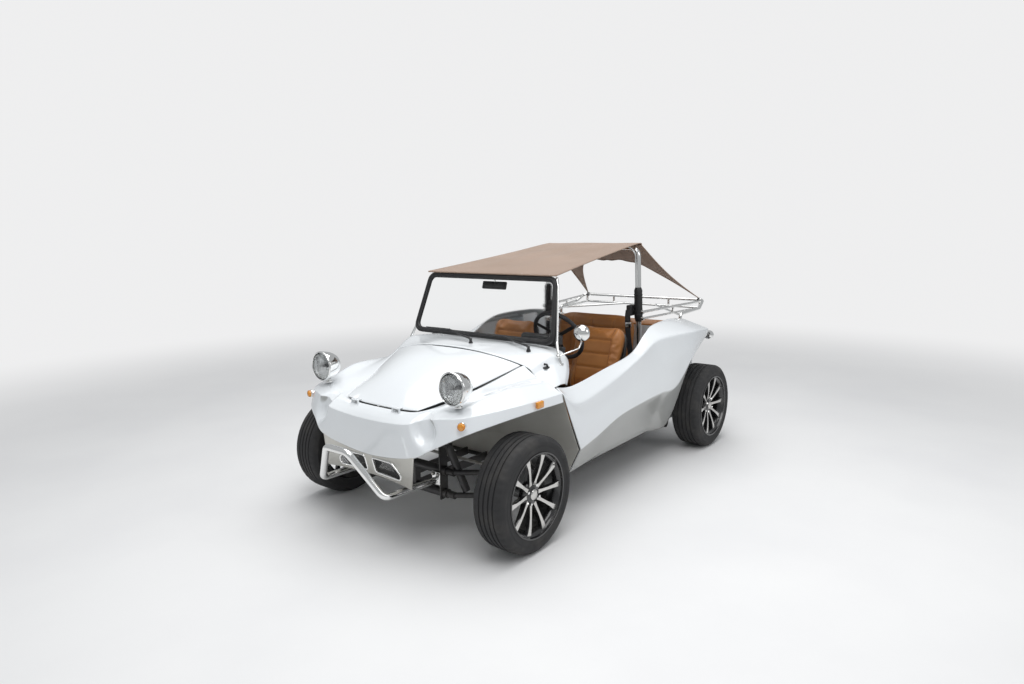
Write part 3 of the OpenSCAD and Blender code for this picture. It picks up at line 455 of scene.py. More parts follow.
def rbox(name, low, high, mat, r=0.006, segs=3):
    """A moulded or folded block with rounded edges between any two opposite corners."""
    lo, hi = np.minimum(low, high), np.maximum(low, high)
    v = [(x, y, z) for x in (lo[0], hi[0]) for y in (lo[1], hi[1]) for z in (lo[2], hi[2])]
    f = [(0, 1, 3, 2), (4, 6, 7, 5), (0, 4, 5, 1), (2, 3, 7, 6), (0, 2, 6, 4), (1, 5, 7, 3)]
    o = mesh(name, v, f, mat, sharp=None)
    mod(o, "BEVEL", width=r, segments=segs, limit_method="ANGLE")
    return apply(o)


def put(o, body="chassis", *cad):
    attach(o, body)
    if cad:
        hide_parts(*cad)
    return o


def mirrored(o, name):
    me = o.data.copy()
    me.transform(Matrix.Scale(-1, 4, (1, 0, 0)))
    me.flip_normals()
    c = bpy.data.objects.new(name, me)
    scene.collection.objects.link(c)
    return c


def left_stands_for(s, node):
    """Lamps come in pairs that the CAD holds in one node: the left piece stands for it."""
    return [node] if s > 0 else []


FORWARD, REARWARD = turned(90, "X"), turned(-90, "X")

# ---------------------------------------------------------------- body shell
# Front and rear axle in y; fender line, wheel centre and pan in z; half the body's width; all in metres
FA, RA, AZ, WZ = -1.045, 1.205, 0.680, 0.316
HALF_W = 0.800
PAN_TOP = 0.245


def at_front(rows):
    """Tables in mm from the front axle and the fender line, to metres in the frame."""
    return [np.array(p, float) / 1000 + (0, FA, AZ) for p in rows]


def both_ways(half):
    """A line given on one side of the middle, made whole."""
    return [p * (-1, 1, 1) for p in half[:0:-1]] + half


# Stations from the middle outwards; columns: seam, slope, crown, crease, lower edge
NOSE = [
    [[0, -340, 68], [0, -370, 52], [0, -394, 34], [0, -415, 12], [0, -420, -180]],
    [[170, -337, 70], [171, -368, 55], [172, -394, 38], [173, -417, 18], [182, -425, -165]],
    [[300, -315, 77], [312, -347, 68], [319, -382, 54], [324, -415, 35], [375, -430, -128]],
    [[357, -190, 95], [415, -262, 98], [450, -318, 92], [472, -368, 74], [482, -400, -72]],
    [[398, -60, 128], [490, -125, 130], [568, -195, 130], [628, -285, 90], [642, -300, 12]],
    [[455, 90, 172], [560, 60, 158], [650, 40, 180], [748, 20, 107], [756, 20, 60]],
    [[530, 315, 246], [610, 322, 190], [690, 325, 165], [786, 330, 112], [794, 328, 68]]]
nose_guides = [both_ways(at_front([s[j] for s in NOSE])) for j in range(5)]
hood_centre = np.array([0, FA - 0.030, 0])
ledge = [hood_centre + 0.93 * (p - hood_centre) + (0, 0, 0.07 * p[2] - 0.014) for p in nose_guides[0]]
nose_grid = supported(loft([ledge] + nose_guides, 132)[:, ::-1], [0, .05, .3, .3, .2, 0],
                      (.16, .27, .38, .5, .62, .74, .85))
for p in nose_grid.reshape(-1, 3):
    # hollow beside the pod's corner, where the pod meets the fender
    d = math.hypot((abs(p[0]) - .420 + .30 * (p[2] - .69)) / .074, (p[2] - .694) / .092)
    if d < 1 and p[1] < -1.30:
        k = min(1, (1 - d) / .38)
        p += (-math.copysign(.012, p[0]) * k, .042 * k * k * (3 - 2 * k), 0)
nose = panel("body_nose_shell", nose_grid, gelcoat, near=None)
put(nose, "chassis", "body_nose")

# Hood: half width, y of edge and middle, z of edge and middle
HOOD = np.array([
    [294, -307, -332, 82, 74],
    [345, -200, -200, 105, 156],
    [390, -60, -60, 134, 226],
    [450, 95, 95, 182, 282],
    [520, 305, 258, 246, 312]], float) / 1000
hood_lines = []
for s in np.linspace(-1, 1, 41):
    rise = 1 - abs(s) ** 2.6
    hood_lines.append([np.array([s * (r[0] - 0.004), FA + r[1] + (r[2] - r[1]) * rise,
                                 AZ + r[3] + (r[4] - r[3]) * rise]) for r in HOOD])
hood = panel("hood_lid", loft(hood_lines, 40)[:, ::-1], gelcoat, near=None)
put(hood, "hood")
HINGE_X, HINGE_Y, HINGE_Z = 0.170, FA - 0.350, AZ + 0.082
hinges, ears = [], []
for s in (-1, 1):
    at = (s * HINGE_X, HINGE_Y, HINGE_Z)
    hinges.append(rbox("hinge_leaf", (at[0] - 0.020, HINGE_Y - 0.002, HINGE_Z - 0.0015),
                       (at[0] + 0.020, HINGE_Y + 0.050, HINGE_Z + 0.0015), gelcoat, 0.0012))
    hinges.append(revolve("hinge_barrel", [(0.0032, -0.020), (0.006, -0.020), (0.006, 0.020), (0.0032, 0.020)],
                          gelcoat, at, segs=24))
    for x in (HINGE_X - 0.0250, HINGE_X + 0.0255):
        ears.append(rbox("ear", (s * x - 0.0045, HINGE_Y - 0.006, HINGE_Z - 0.040),
                         (s * x + 0.0045, HINGE_Y + 0.006, HINGE_Z + 0.006), gelcoat, 0.003))
    ears.append(revolve("hinge_pin", [(0, -0.029), (0.003, -0.029), (0.003, 0.029), (0, 0.029)], steel, at,
                        segs=20))
put(join("hood_hinges", hinges), "hood", "hood")
put(join("hood_hinge_ears", ears))

COWL = [
    [[0, 268, 318], [0, 500, 328], [0, 640, 322], [0, 662, 290]],
    [[270, 276, 303], [280, 500, 327], [290, 640, 318], [290, 662, 288]],
    [[530, 316, 245], [565, 478, 308], [575, 610, 296], [575, 640, 266]],
    [[612, 323, 189], [640, 455, 236], [655, 560, 222], [650, 600, 196]],
    [[732, 328, 140], [728, 400, 142], [720, 450, 135], [708, 490, 120]]]
cowl_guides = [both_ways(at_front([s[j] for s in COWL])) for j in range(4)]
put(panel("cowl_shell", loft(cowl_guides, 96), gelcoat, near=[0, .25, .2, 0]), "chassis", "cowl")


TABLE_BASE = 2.250


def side_y(y):
    """The side's table counts y in mm from the middle between axles TABLE_BASE apart. Each end keeps to its axle."""
    return (FA if y < 0 else RA - TABLE_BASE) + TABLE_BASE / 2 + y / 1000


FLANGE = PAN_TOP + 0.0003 - AZ
SIDE = [
    [[61, -790, 139], [13, -793, 110], [10, -725, -40], [14, -610, -268], [96, -600, -425], [125, -598, None],
     [160, -596, None]],
    [[76, -600, 112], [0, -640, 24], [10, -560, -90], [2, -450, -225], [96, -420, -412], [125, -418, None],
     [160, -416, None]],
    [[80, -250, 147], [0, -250, 84], [12, -250, -55], [0, -170, -158], [98, -150, -386], [125, -148, None],
     [160, -146, None]],
    [[82, 100, 192], [2, 90, 176], [12, 110, 0], [0, 140, -134], [100, 140, -384], [125, 142, None],
     [160, 144, None]],
    [[92, 310, 292], [8, 320, 246], [4, 350, 60], [0, 400, -126], [100, 400, -395], [125, 402, None],
     [160, 404, None]],
    [[118, 480, 334], [-18, 500, 262], [-22, 560, 110], [-2, 640, -124], [90, 690, -425], [125, 694, None],
     [160, 696, None]],
    [[160, 850, 334], [-38, 850, 254], [-40, 860, 160], [-30, 850, 60], [-8, 842, 2], [12, 846, 4],
     [34, 850, 10]],
    [[210, 1195, 290], [12, 1225, 222], [20, 1245, 196], [26, 1250, 180], [40, 1240, 158], [56, 1234, 158],
     [74, 1226, 162]]]
side_guides = [[np.array([HALF_W - s[j][0] / 1000, side_y(s[j][1]),
                          AZ + (FLANGE if s[j][2] is None else s[j][2] / 1000)]) for s in SIDE]
               for j in range(7)]
side = panel("body_side_shell_left", loft(side_guides, 112)[:, ::-1], gelcoat,
             near=[0, .3, .1, .045, .3, .12, 0])
side_r = mirrored(side, "body_side_shell_right")
put(side, "chassis", "body_side_left")
put(side_r, "chassis", "body_side_right")

# ---------------------------------------------------------------- valance, grilles, nose bar
low = np.array([0, FA - 0.386, AZ - 0.312])
vrows = []
for k in np.linspace(8, 16, 49):
    p = along(nose_guides[4], k / 24)
    vrows.append([low + (p[0] * 0.93, -p[0] * p[0] / 3.4, 0), p - (0, 0, 0.0018)])
vrows = np.array(vrows)
# Corners of the left grille: x, z below GRILLE_Z, radius
GRILLE_Z = AZ - 0.168
GRILLE = [[.034, -.034, .016], [.034, -.118, .016], [.292, -.118, .024], [.190, -.034, .050]]


def valance_y(x, z):
    i = int(np.argmin(abs(vrows[:, 1, 0] - x)))
    a, b = vrows[i]
    return a[1] + (b[1] - a[1]) * (z - a[2]) / (b[2] - a[2])


def grown(by):
    """The grille's corners, moved outwards."""
    return [[x + (by if x > .1 else -by), z + (by if z > -.06 else -by), r] for x, z, r in GRILLE]


def grille_line(grow, side_sign, off):
    pts = []
    for p in rounded(grown(grow), 8):
        x, z = side_sign * p[0], GRILLE_Z + p[1]
        pts.append(np.array([x, valance_y(x, z) + off, z]))
    return pts


# The valance takes the darker gelcoat copy: painted shade under the nose
valance = mesh("valance_skin", vrows.reshape(-1, 3), grid_faces(len(vrows), 2), shaded, sharp=None)
mod(valance, "SOLIDIFY", thickness=0.005, offset=-1)
cutters = []
for s in (-1, 1):
    ring = grille_line(0, s, -0.08)
    n = len(ring)
    v = ring + [p + (0, 0.2, 0) for p in ring]
    f = [tuple(range(n)), tuple(range(2 * n - 1, n - 1, -1))] + [(i, n + i, n + (i + 1) % n, (i + 1) % n)
                                                                 for i in range(n)]
    cutters.append(mesh("cut", v, f, gelcoat, False))
for c in cutters:
    mod(valance, "BOOLEAN", object=outward(c), operation="DIFFERENCE", solver="EXACT")
apply(valance)
for c in cutters:
    bpy.data.objects.remove(c)
put(valance, "chassis", "front_valance")
put(join("grille_surrounds", [tube("surround", grille_line(0.003, s, -0.001), 0.0055, chrome, 10, True)
                              for s in (-1, 1)]))


def clipped(a, b, poly):
    """The part of line a-b inside a convex outline, or None."""
    t0, t1 = 0.0, 1.0
    d = b - a
    n = len(poly)
    winding = sum(poly[i][0] * poly[(i + 1) % n][1] - poly[(i + 1) % n][0] * poly[i][1] for i in range(n))
    for i in range(n):
        e = poly[(i + 1) % n] - poly[i]
        nrm = np.array([-e[1], e[0]]) * (1 if winding > 0 else -1)
        num, den = nrm @ (a - poly[i]), nrm @ d
        if abs(den) < 1e-12:
            if num < 0:
                return None
            continue
        t = -num / den
        if den > 0:
            t0 = max(t0, t)
        else:
            t1 = min(t1, t)
    return (a + d * t0, a + d * t1) if t0 < t1 - 0.01 else None


wires = []
outline = [np.array(p) for p in rounded(grown(.007), 5)]
for s in (-1, 1):
    for slope in (-1, 1):
        for c in np.arange(-0.3, 0.6, 0.0085):
            a, b = np.array([c, -0.14]), np.array([c + slope * 0.16, -0.0])
            hit = clipped(a, b, outline)
            if hit:
                ends = [np.array([s * p[0], 0, GRILLE_Z + p[1]]) for p in hit]
                mid = (ends[0] + ends[1]) / 2
                for p in ends + [mid]:
                    p[1] = valance_y(p[0], p[2]) + 0.0075 + (0.0012 if slope > 0 else 0)
                wires.append(tube("w", [ends[0], mid, ends[1]], 0.0011, black, 5))
put(join("grille_wires", wires), "chassis", "grille_mesh")

FY = FA - 0.640
bar_r = 0.019
top_y, bar_low, foot_y = FY + bar_r, AZ - 0.342, FA - 0.135 - 0.0303
bar = tube("nose_bar_tube", arc_path([(.270, foot_y - .008, bar_low - .010), (.258, top_y + .085, bar_low),
                                      (.088, top_y, AZ - .105), (-.088, top_y, AZ - .105),
                                      (-.258, top_y + .085, bar_low), (-.270, foot_y - .008, bar_low - .010)],
                                     .055, 10), bar_r, chrome, 28)
feet = [rbox("bar_foot", (s * .2725 - .0295, foot_y - .009, bar_low - .036),
             (s * .2725 + .0295, foot_y, bar_low + .040), chrome, .004) for s in (-1, 1)]
bolts = [revolve("bolt", [(0, .011), (.007, .011), (.0085, .009), (.0085, 0), (.013, 0), (.013, -.002),
                          (0, -.002)], steel, (s * (.2725 + k * .017), foot_y - .009, bar_low + .027),
                 turned(90, "X"), 6) for s in (-1, 1) for k in (-1, 1)]
put(join("nose_bar", [bar] + feet + bolts), "chassis", "nudge_bar")

# ---------------------------------------------------------------- lamps
# Headlight centre and radius
LX, LY, LZ, LR = .537, -1.341, .906, .088
for s, tag in ((1, "left"), (-1, "right")):
    shell = [(LR - .006, -.004), (LR - .006, .006), (LR - .003, .009), (LR, .006), (LR + .0005, -.002),
             (LR, -.012), (LR - .002, -.024), (LR - .005, -.040), (LR - .010, -.058), (LR - .018, -.076),
             (LR - .030, -.093), (LR - .046, -.107), (LR - .064, -.117), (LR - .080, -.123), (0, -.124)]
    pieces = [revolve("lamp_shell", shell, chrome, (s * LX, LY, LZ), FORWARD)]
    bowl = [(LR - .007, -.001), (LR - .012, -.012), (LR - .022, -.026), (LR - .040, -.042), (LR - .062, -.052),
            (.012, -.054), (0, -.054)]
    pieces.append(revolve("lamp_bowl", bowl, chrome, (s * LX, LY, LZ), FORWARD))
    pieces.append(revolve("lamp_bulb", [(0, -.012), (.006, -.014), (.010, -.020), (.010, -.034), (.013, -.036),
                                        (.013, -.053), (0, -.053)], plastic, (s * LX, LY, LZ), FORWARD, 24))
    pieces.append(revolve("lamp_trim", [(LR - .001, -.006), (LR + .002, -.004), (LR + .003, .000),
                                        (LR + .002, .004), (LR - .004, .0095)], chrome, (s * LX, LY, LZ),
                          FORWARD))
    foot = AZ + .121
    pieces.append(revolve("lamp_stalk", [(.022, 0), (.022, .004), (.016, .009), (.0095, .014), (.0095, .050),
                                         (.014, .056), (.017, .066), (.014, .080)], chrome,
                          (s * LX, LY + .045, foot), "Z", 32))
    pieces.append(revolve("lamp_nut", [(0, .008), (.012, .008), (.013, .004), (.013, -.004), (0, -.004)], black,
                          (s * LX, LY + .045, foot + .024), "Z", 6))
    put(join("headlight_" + tag, pieces), "chassis", *left_stands_for(s, "headlights"))
    glassy = [(0, .018), (.02, .0176), (.04, .0158), (.06, .0118), (.072, .008), (LR - .007, .003),
              (LR - .007, -.001), (.07, .002), (.05, .008), (.03, .012), (0, .0138)]
    put(revolve("headlight_lens_" + tag, glassy, lens, (s * LX, LY, LZ), FORWARD, sharp=None), "chassis",
        *left_stands_for(s, "headlight_lenses"))
    aim = turned(20 * s, "Z") @ FORWARD
    at = Vector((s * .620, FA - .3142, AZ + .052))
    sig = [revolve("signal_lens", [(0, .034), (.010, .033), (.017, .030), (.0205, .024), (.0205, .012),
                                   (0, .012)], amber, at, aim, 40),
           revolve("signal_base", [(0, .014), (.0205, .014), (.023, .012), (.023, 0), (0, 0)], chrome, at, aim,
                   40)]
    mx = HALF_W - .0065
    sig.append(rbox("marker_base", (s * mx, FA + .090, AZ + .074), (s * (mx - .020), FA + .146, AZ + .112),
                    amber, .006, 4))
    put(join("amber_lamps_" + tag, sig), "chassis", *left_stands_for(s, "amber_lamps"))
    tx, ty, tz = s * (HALF_W - .062), RA + .250, AZ + .150
    tail = [revolve("tail_lens", [(0, .004), (.020, .003), (.028, .0), (.030, -.004), (.030, -.012),
                                  (0, -.012)], red, (tx, ty - .004, tz),
                    REARWARD, 40),
            revolve("tail_shell", [(.0305, 0), (.034, -.002), (.034, -.032), (.030, -.040), (.016, -.046),
                                   (0, -.047)], chrome, (tx, ty, tz),
                    REARWARD, 40),
            tube("tail_stalk", [(tx, ty - .044, tz - .008), (tx, RA + .092, tz - .008)], .009, black),
            rbox("tail_bracket", (s * .6553, RA + .084, AZ + .134), (s * .745, RA + .102, AZ + .148), black,
                 .003)]
    put(join("tail_lamp_" + tag, tail), "chassis", *left_stands_for(s, "tail_lamps"))

# ---------------------------------------------------------------- screen, wipers, mirrors
LEAN = math.radians(17.6)
# Width at the foot, height, and how much narrower each side gets for each unit of height
SW, SH, TAPER = 1.190, 0.420, 0.146
SY, SZ = FA + 0.527, AZ + 0.3268 + 0.015 * math.sin(LEAN) + 0.0003
E_UP = np.array([0, math.sin(LEAN), math.cos(LEAN)])
E_OUT = np.array([0, -math.cos(LEAN), math.sin(LEAN)])


def on_screen(x, y, z=0.0):
    return np.array([x, SY, SZ]) + E_UP * y + E_OUT * z


def screen_outline(inset, r, steps=8):
    b = SW / 2 - inset
    t = b - (SH - 2 * inset) * TAPER
    return rounded([[b, inset, r], [t, SH - inset, r], [-t, SH - inset, r], [-b, inset, r]], steps)


section = [(0, -.009), (0, .009), (.003, .0135), (.010, .015), (.024, .0135), (.031, .009), (.0345, .003),
           (.0345, -.003), (.031, -.009), (.024, -.0135), (.010, -.015), (.003, -.0135)]
loops = [[on_screen(p[0], p[1], z) for p in screen_outline(i, .062 - i * .65)] for i, z in section]
n_s, n_o = len(section), len(loops[0])
frame_mesh = mesh("screen_frame", [p for lp in loops for p in lp],
                  [(i * n_o + j, i * n_o + (j + 1) % n_o, ((i + 1) % n_s) * n_o + (j + 1) % n_o,
                    ((i + 1) % n_s) * n_o + j) for i in range(n_s) for j in range(n_o)], rubber, sharp=None)
bead = tube("screen_bead", [on_screen(p[0], p[1], .0148) for p in screen_outline(.015, .052)], .0028, plastic,
            8, True)
put(join("windshield_frame_rubber", [frame_mesh, bead]), "chassis", "windshield_frame")
edge = [on_screen(p[0], p[1], 0) for p in screen_outline(.0338, .040)]
pane = [p + E_OUT * .003 for p in edge] + [p - E_OUT * .003 for p in edge]
n_e = len(edge)
put(mesh("windshield_pane", pane, [tuple(range(n_e)), tuple(range(2 * n_e - 1, n_e - 1, -1))] +
         [(i, n_e + i, n_e + (i + 1) % n_e, (i + 1) % n_e) for i in range(n_e)], glass, False), "chassis",
    "windshield_glass")
posts = []
for s in (-1, 1):
    b, t = SW / 2 + .008, SW / 2 - SH * TAPER + .008
    pts = [on_screen(s * (t - .02), SH - .004, -.012), on_screen(s * (t - .004), SH - .05, -.012),
           on_screen(s * (b - .004), .03, -.012), np.array([s * .6245, SY - .006, SZ - .045]),
           np.array([s * .6400, SY - .002, SZ - .104])]
    posts.append(tube("post", arc_path(pts, .05, 4), .0085, chrome, 14))
    posts.append(rbox("post_foot", (s * .628, SY - .020, SZ - .150), (s * .652, SY + .016, SZ - .098), chrome,
                      .005))
    for k in (0, 1):
        posts.append(revolve("post_bolt", [(0, .004), (.005, .004), (.006, .002), (.006, 0)], steel,
                             (s * .6525, SY - .002, SZ - .112 - .024 * k), turned(90 * s, "Y"), 6))
put(join("screen_posts", posts))


def cowl_point(t, v):
    return along(cowl_guides[0], (t + 4) / 8) * (1 - v) + along(cowl_guides[1], (t + 4) / 8) * v


arms = []
for i, (t, v, lift) in enumerate([(.22, .5, .0012), (1.66, .7, .0034)]):
    p = cowl_point(t, v) + (0, 0, lift)
    tip = p + (-.250, .062, .056)
    arms.append(revolve("wiper_boot", [(.014, -.004), (.013, .004), (.009, .012), (.008, .020), (.010, .024),
                                       (.007, .029), (0, .030)], plastic, p, "Z", 24))
    arms.append(tube("wiper_arm", [p + (0, 0, .022), p + (-.02, .005, .030), (p + tip) / 2 + (0, 0, .012),
                                   tip + (.01, 0, .006), tip], [.0075, .007, .0052, .004, .0035], plastic, 10))
    a, b = tip + (-.190, -.012, .008), tip + (.190, -.012, -.014)
    arms.append(tube("wiper_spine", [a, a * .7 + b * .3 + (0, 0, .006), tip + (0, 0, .004),
                                     a * .3 + b * .7 + (0, 0, .006), b], [.002, .0035, .0045, .0035, .002],
                     black, 8))
    arms.append(tube("wiper_blade", [a + (0, .004, -.003), tip + (0, .004, -.006), b + (0, .004, -.003)], .0032,
                     rubber, 6))
put(join("wiper_set", arms), "chassis", "wipers")
mz = SH - .058
back_m = rbox("mirror_back", (-.100, -.026, -.009), (.100, .026, .009), plastic, .008, 4)
back_m.matrix_world = Matrix((Vector((1, 0, 0)), Vector(E_UP), Vector(E_OUT))).transposed().to_4x4()
back_m.matrix_world.translation = Vector(on_screen(0, mz, -.066))
face_m = rbox("mirror_face", (-.094, -.021, -.0015), (.094, .021, .0015), mirror, .001, 1)
face_m.matrix_world = back_m.matrix_world.copy()
face_m.matrix_world.translation = Vector(on_screen(0, mz, -.0752))
bpy.context.view_layer.update()
stem = tube("mirror_stem", arc_path([on_screen(0, SH - .017, -.016), on_screen(0, SH - .017, -.060),
                                     on_screen(0, SH - .040, -.064)], .012, 5), .0055, chrome, 12)
put(join("rear_view_mirror", [back_m, face_m, stem]), "chassis", "interior_mirror")
hx, hy, hz, hr = HALF_W - .115, FA + .692, AZ + .396, .052
head = revolve("door_mirror_shell", [(hr - .004, -.001), (hr - .001, .001), (hr, -.003), (hr, -.014),
                                     (hr - .002, -.020), (hr - .008, -.030), (hr - .020, -.040),
                                     (hr - .036, -.047), (0, -.049)], chrome, (hx, hy, hz), REARWARD, 48)
lookback = revolve("door_mirror_glass", [(0, -.0012), (hr - .004, -.0012), (hr - .004, -.004), (0, -.004)],
                   mirror, (hx, hy, hz), REARWARD, 48)
foot_p = np.array([SW / 2 + .044, SY - .026, SZ - .0528])
arm_m = tube("door_mirror_arm", arc_path([(hx, hy - .008, hz - hr + .004), (hx - .004, hy - .03, hz - .088),
                                          foot_p], .03, 5), .0048, chrome, 12)
foot_m = revolve("door_mirror_foot", [(0, .012), (.008, .011), (.012, .006), (.013, -.004), (.011, -.008),
                                      (0, -.008)], chrome, foot_p, turned(60, "Y"), 24)
put(join("door_mirror", [head, lookback, arm_m, foot_m]), "chassis", "side_mirror")

# ---------------------------------------------------------------- cockpit
# Dashboard: its back face in y, top and bottom in z
DY, DT, DL = FA + .664, AZ + .300, AZ + .110
dash = [rbox("dash_panel", (-.566, DY, DL), (.566, DY + .022, DT), plastic, .008, 4),
        rbox("dash_roll", (-.560, DY + .002, DT - .026), (.560, DY + .040, DT - .001), plastic, .011, 5),
        rbox("dash_pod", (.230, DY + .002, DT - .002), (.530, DY + .060, DT + .066), plastic, .020, 6),
        rbox("glove_tray", (-.500, DY + .018, DL + .020), (-.180, DY + .030, DL + .120), plastic, .006, 3)]
for x, r in ((.315, .034), (.392, .034), (.462, .024)):
    dash.append(revolve("gauge_bezel", [(r - .004, .058), (r - .002, .064), (r + .001, .064), (r + .002, .058)],
                        chrome, (x, DY, DT + .030), REARWARD, 32))
    dash.append(revolve("gauge_face", [(0, .0612), (r - .003, .0612), (r - .003, .058)], rim_black,
                        (x, DY, DT + .030), REARWARD, 32))
    for k in range(9):
        a = math.radians(-210 + 30 * k)
        c = Vector((x + math.cos(a) * (r - .009), DY + .0615, DT + .030 + math.sin(a) * (r - .009)))
        dash.append(rbox("tick", (c.x - .0009, c.y - .0003, c.z - .0030),
                         (c.x + .0009, c.y + .0003, c.z + .0030), gelcoat, .0002, 1))
    dash.append(tube("needle", [(x, DY + .0622, DT + .030), (x - r * .45, DY + .0622, DT + .030 + r * .45)],
                     [.0014, .0004], amber, 6))
for k in range(5):
    dash.append(revolve("switch", [(0, .046), (.004, .045), (.005, .038), (.009, .036), (.010, .030)], chrome,
                        (-.10 + .048 * k, DY - .008, DL + .085), REARWARD, 20))
put(join("dash_assembly", dash), "chassis", "dashboard")

# Steering wheel: tilt, centre, radius
WT = math.radians(62)
wc = np.array([.380, FA + .880, AZ + .330])
wmat = Matrix.Translation(wc) @ Matrix.Rotation(-WT, 4, "X")
R = .175
ring = tube("wheel_rim", [wmat @ Vector((x, y, 0)) for x, y in circle(72, R)],
            [.013 + .0008 * (k % 6 < 3) for k in range(72)], webbing, 16, True)
parts = [ring]
for a in (90, 210, 330):
    rot = wmat @ turned(a, "Z")
    sp = rbox("wheel_spoke", (.026, -.012, -.0035), (R - .006, .012, .0015), black, .0016, 2)
    sp.matrix_world = rot
    parts.append(sp)
    for k in range(3):
        ho = revolve("spoke_hole", [(.0055, .0016), (.0048, .0022), (.0040, .0016), (0, .0004)], steel,
                     (0, 0, 0), "Z", 20)
        ho.matrix_world = rot @ Matrix.Translation((.062 + .030 * k, 0, 0))
        parts.append(ho)
hub = revolve("wheel_hub", [(0, .013), (.018, .013), (.026, .010), (.032, .004), (.034, -.004), (.034, -.013),
                            (0, -.013)], black, (0, 0, 0), "Z", 40)
hub.matrix_world = wmat
cap = revolve("wheel_cap", [(0, .0165), (.012, .016), (.017, .0135), (.018, .011)], chrome, (0, 0, 0), "Z", 40)
cap.matrix_world = wmat
bpy.context.view_layer.update()
put(join("steering_wheel_full", parts + [hub, cap]), "steering_wheel", "steering_wheel")


def soft_block(name, size, place, mat, crown=.02, bolster=0.0, cells=22, pull=.012):
    """A stuffed form: a rounded block whose faces swell and whose sides pull in between its corners."""
    w, d, h = size
    bm = bmesh.new()
    bmesh.ops.create_cube(bm, size=2)
    bmesh.ops.subdivide_edges(bm, edges=bm.edges, cuts=cells, use_grid_fill=True)
    for v in bm.verts:
        x, y, z = v.co
        k = 5.0
        m = (abs(x) ** k + abs(y) ** k + abs(z) ** k) ** (1 / k)
        x, y, z = x / m, y / m, z / m
        edge_x, edge_y = 1 - y * y, 1 - x * x
        px = x * (w / 2 - pull * edge_x * (abs(x) > .5) * .6)
        py = y * (d / 2 - pull * edge_y * (abs(y) > .5) * .6)
        top = z * h / 2 * (1 - .16 * max(abs(x), abs(y)) ** 6)
        if z > 0:
            top += crown * (1 - x * x) * (1 - y * y) * z
            top += bolster * (math.exp(-((abs(x) - .84) / .17) ** 2) - .55 * math.exp(-(x / .55) ** 2)) * z
        v.co = (px, py, top)
    me = bpy.data.meshes.new(name)
    bm.to_mesh(me)
    bm.free()
    me.transform(place)
    return link(me, name, mat, True, None)


def inflate(o, voxel, cap):
    """Swells a pad as cloth under pressure, with each point's travel capped."""
    mod(o, "REMESH", mode="VOXEL", voxel_size=voxel)
    apply(o)
    start = np.array([v.co[:] for v in o.data.vertices])
    cl = o.modifiers.new("cloth", "CLOTH")
    cl.settings.quality = 4
    cl.settings.mass = 0.4
    cl.settings.use_pressure = True
    cl.settings.uniform_pressure_force = 4
    cl.settings.tension_stiffness = 25
    cl.settings.bending_stiffness = 6
    cl.settings.effector_weights.gravity = 0
    cl.point_cache.frame_start, cl.point_cache.frame_end = 1, 20
    for f in range(1, 21):
        scene.frame_set(f)
    ev = o.evaluated_get(bpy.context.evaluated_depsgraph_get())
    end = np.array([v.co[:] for v in ev.data.vertices])
    o.modifiers.clear()
    scene.frame_set(1)
    move = end - start
    size = np.linalg.norm(move, axis=1, keepdims=True)
    move *= np.minimum(1, cap / np.maximum(size, 1e-9))
    o.data.vertices.foreach_set("co", (start + move).ravel())
    for p in o.data.polygons:
        p.use_smooth = True
    mod(o, "SMOOTH", factor=.5, iterations=4)
    return apply(o)


def seam(o, pts, toward_v, r=.0026, mat=piping, dig=.0035):
    """Sews a line into a pad: the cover dips along it and a thin welt lies in the dip."""
    bvh = BVHTree.FromObject(o, bpy.context.evaluated_depsgraph_get())
    hits = []
    for p in pts:
        h = bvh.ray_cast(Vector(p), Vector(toward_v))[0]
        if h:
            hits.append(np.array(h))
    if len(hits) < 3:
        return []
    hp = np.array(hits)
    way = unit(np.array(toward_v, float))
    co = np.array([v.co[:] for v in o.data.vertices])
    for i0 in range(0, len(co), 4000):
        batch = co[i0:i0 + 4000]
        d = np.sqrt(((batch[:, None] - hp[None]) ** 2).sum(2)).min(1)
        co[i0:i0 + 4000] = batch + way[None] * (dig * np.exp(-(d / .010) ** 2))[:, None]
    o.data.vertices.foreach_set("co", co.ravel())
    o.data.update()
    return [tube("welt", hp + way * (dig - r * .4), r, mat, 8)]


SEAT_W, SEAT_Y, PAN_Z = .420, FA + 1.125, PAN_TOP + .175
lean = math.radians(16)
base_m = Matrix.Translation((0, SEAT_Y - .020, PAN_Z + .020))
back_mx = Matrix.Translation((0, SEAT_Y + .165 + .26 * math.sin(lean), PAN_Z + .102 + .26 * math.cos(lean))) @ \
    Matrix.Rotation(math.radians(90) - lean, 4, "X")


def fitted(size, cap):
    """A pad starts smaller by what it will swell."""
    return tuple(v - cap * .9 for v in size)


# The furthest that a pad's skin may swell
CAP = .016
base = inflate(soft_block("seat_cushion", fitted((SEAT_W - .006, .452, .150), CAP), base_m, leather, .018,
                          .018), .0065, CAP)
backrest = inflate(soft_block("seat_back", fitted((SEAT_W - .008, .515, .104), CAP), back_mx, leather, .012,
                              .022), .0065, CAP)
up_b = np.array([0, math.sin(lean), math.cos(lean)])
fwd_b = np.array([0, math.cos(lean), -math.sin(lean)])
mid_b = np.array(back_mx.translation)
welts = []
for s in (-1, 1):
    welts += seam(base, [(s * (.128 + .010 * math.cos(k)), SEAT_Y - .020 + y, 1.2) for k,
                         y in zip(np.linspace(-1.4, 1.4, 28), np.linspace(-.200, .190, 28))], (0, 0, -1))
    welts += seam(backrest, [mid_b + up_b * y - fwd_b * .3 + (s * (.126 - .05 * max(0, y - .12)), 0, 0)
                             for y in np.linspace(-.235, .232, 30)], fwd_b)
for y in (-.075, .075):
    welts += seam(base, [(x, SEAT_Y - .020 + y, 1.2) for x in np.linspace(-.126, .126, 22)], (0, 0, -1), .0012,
                  piping, .005)
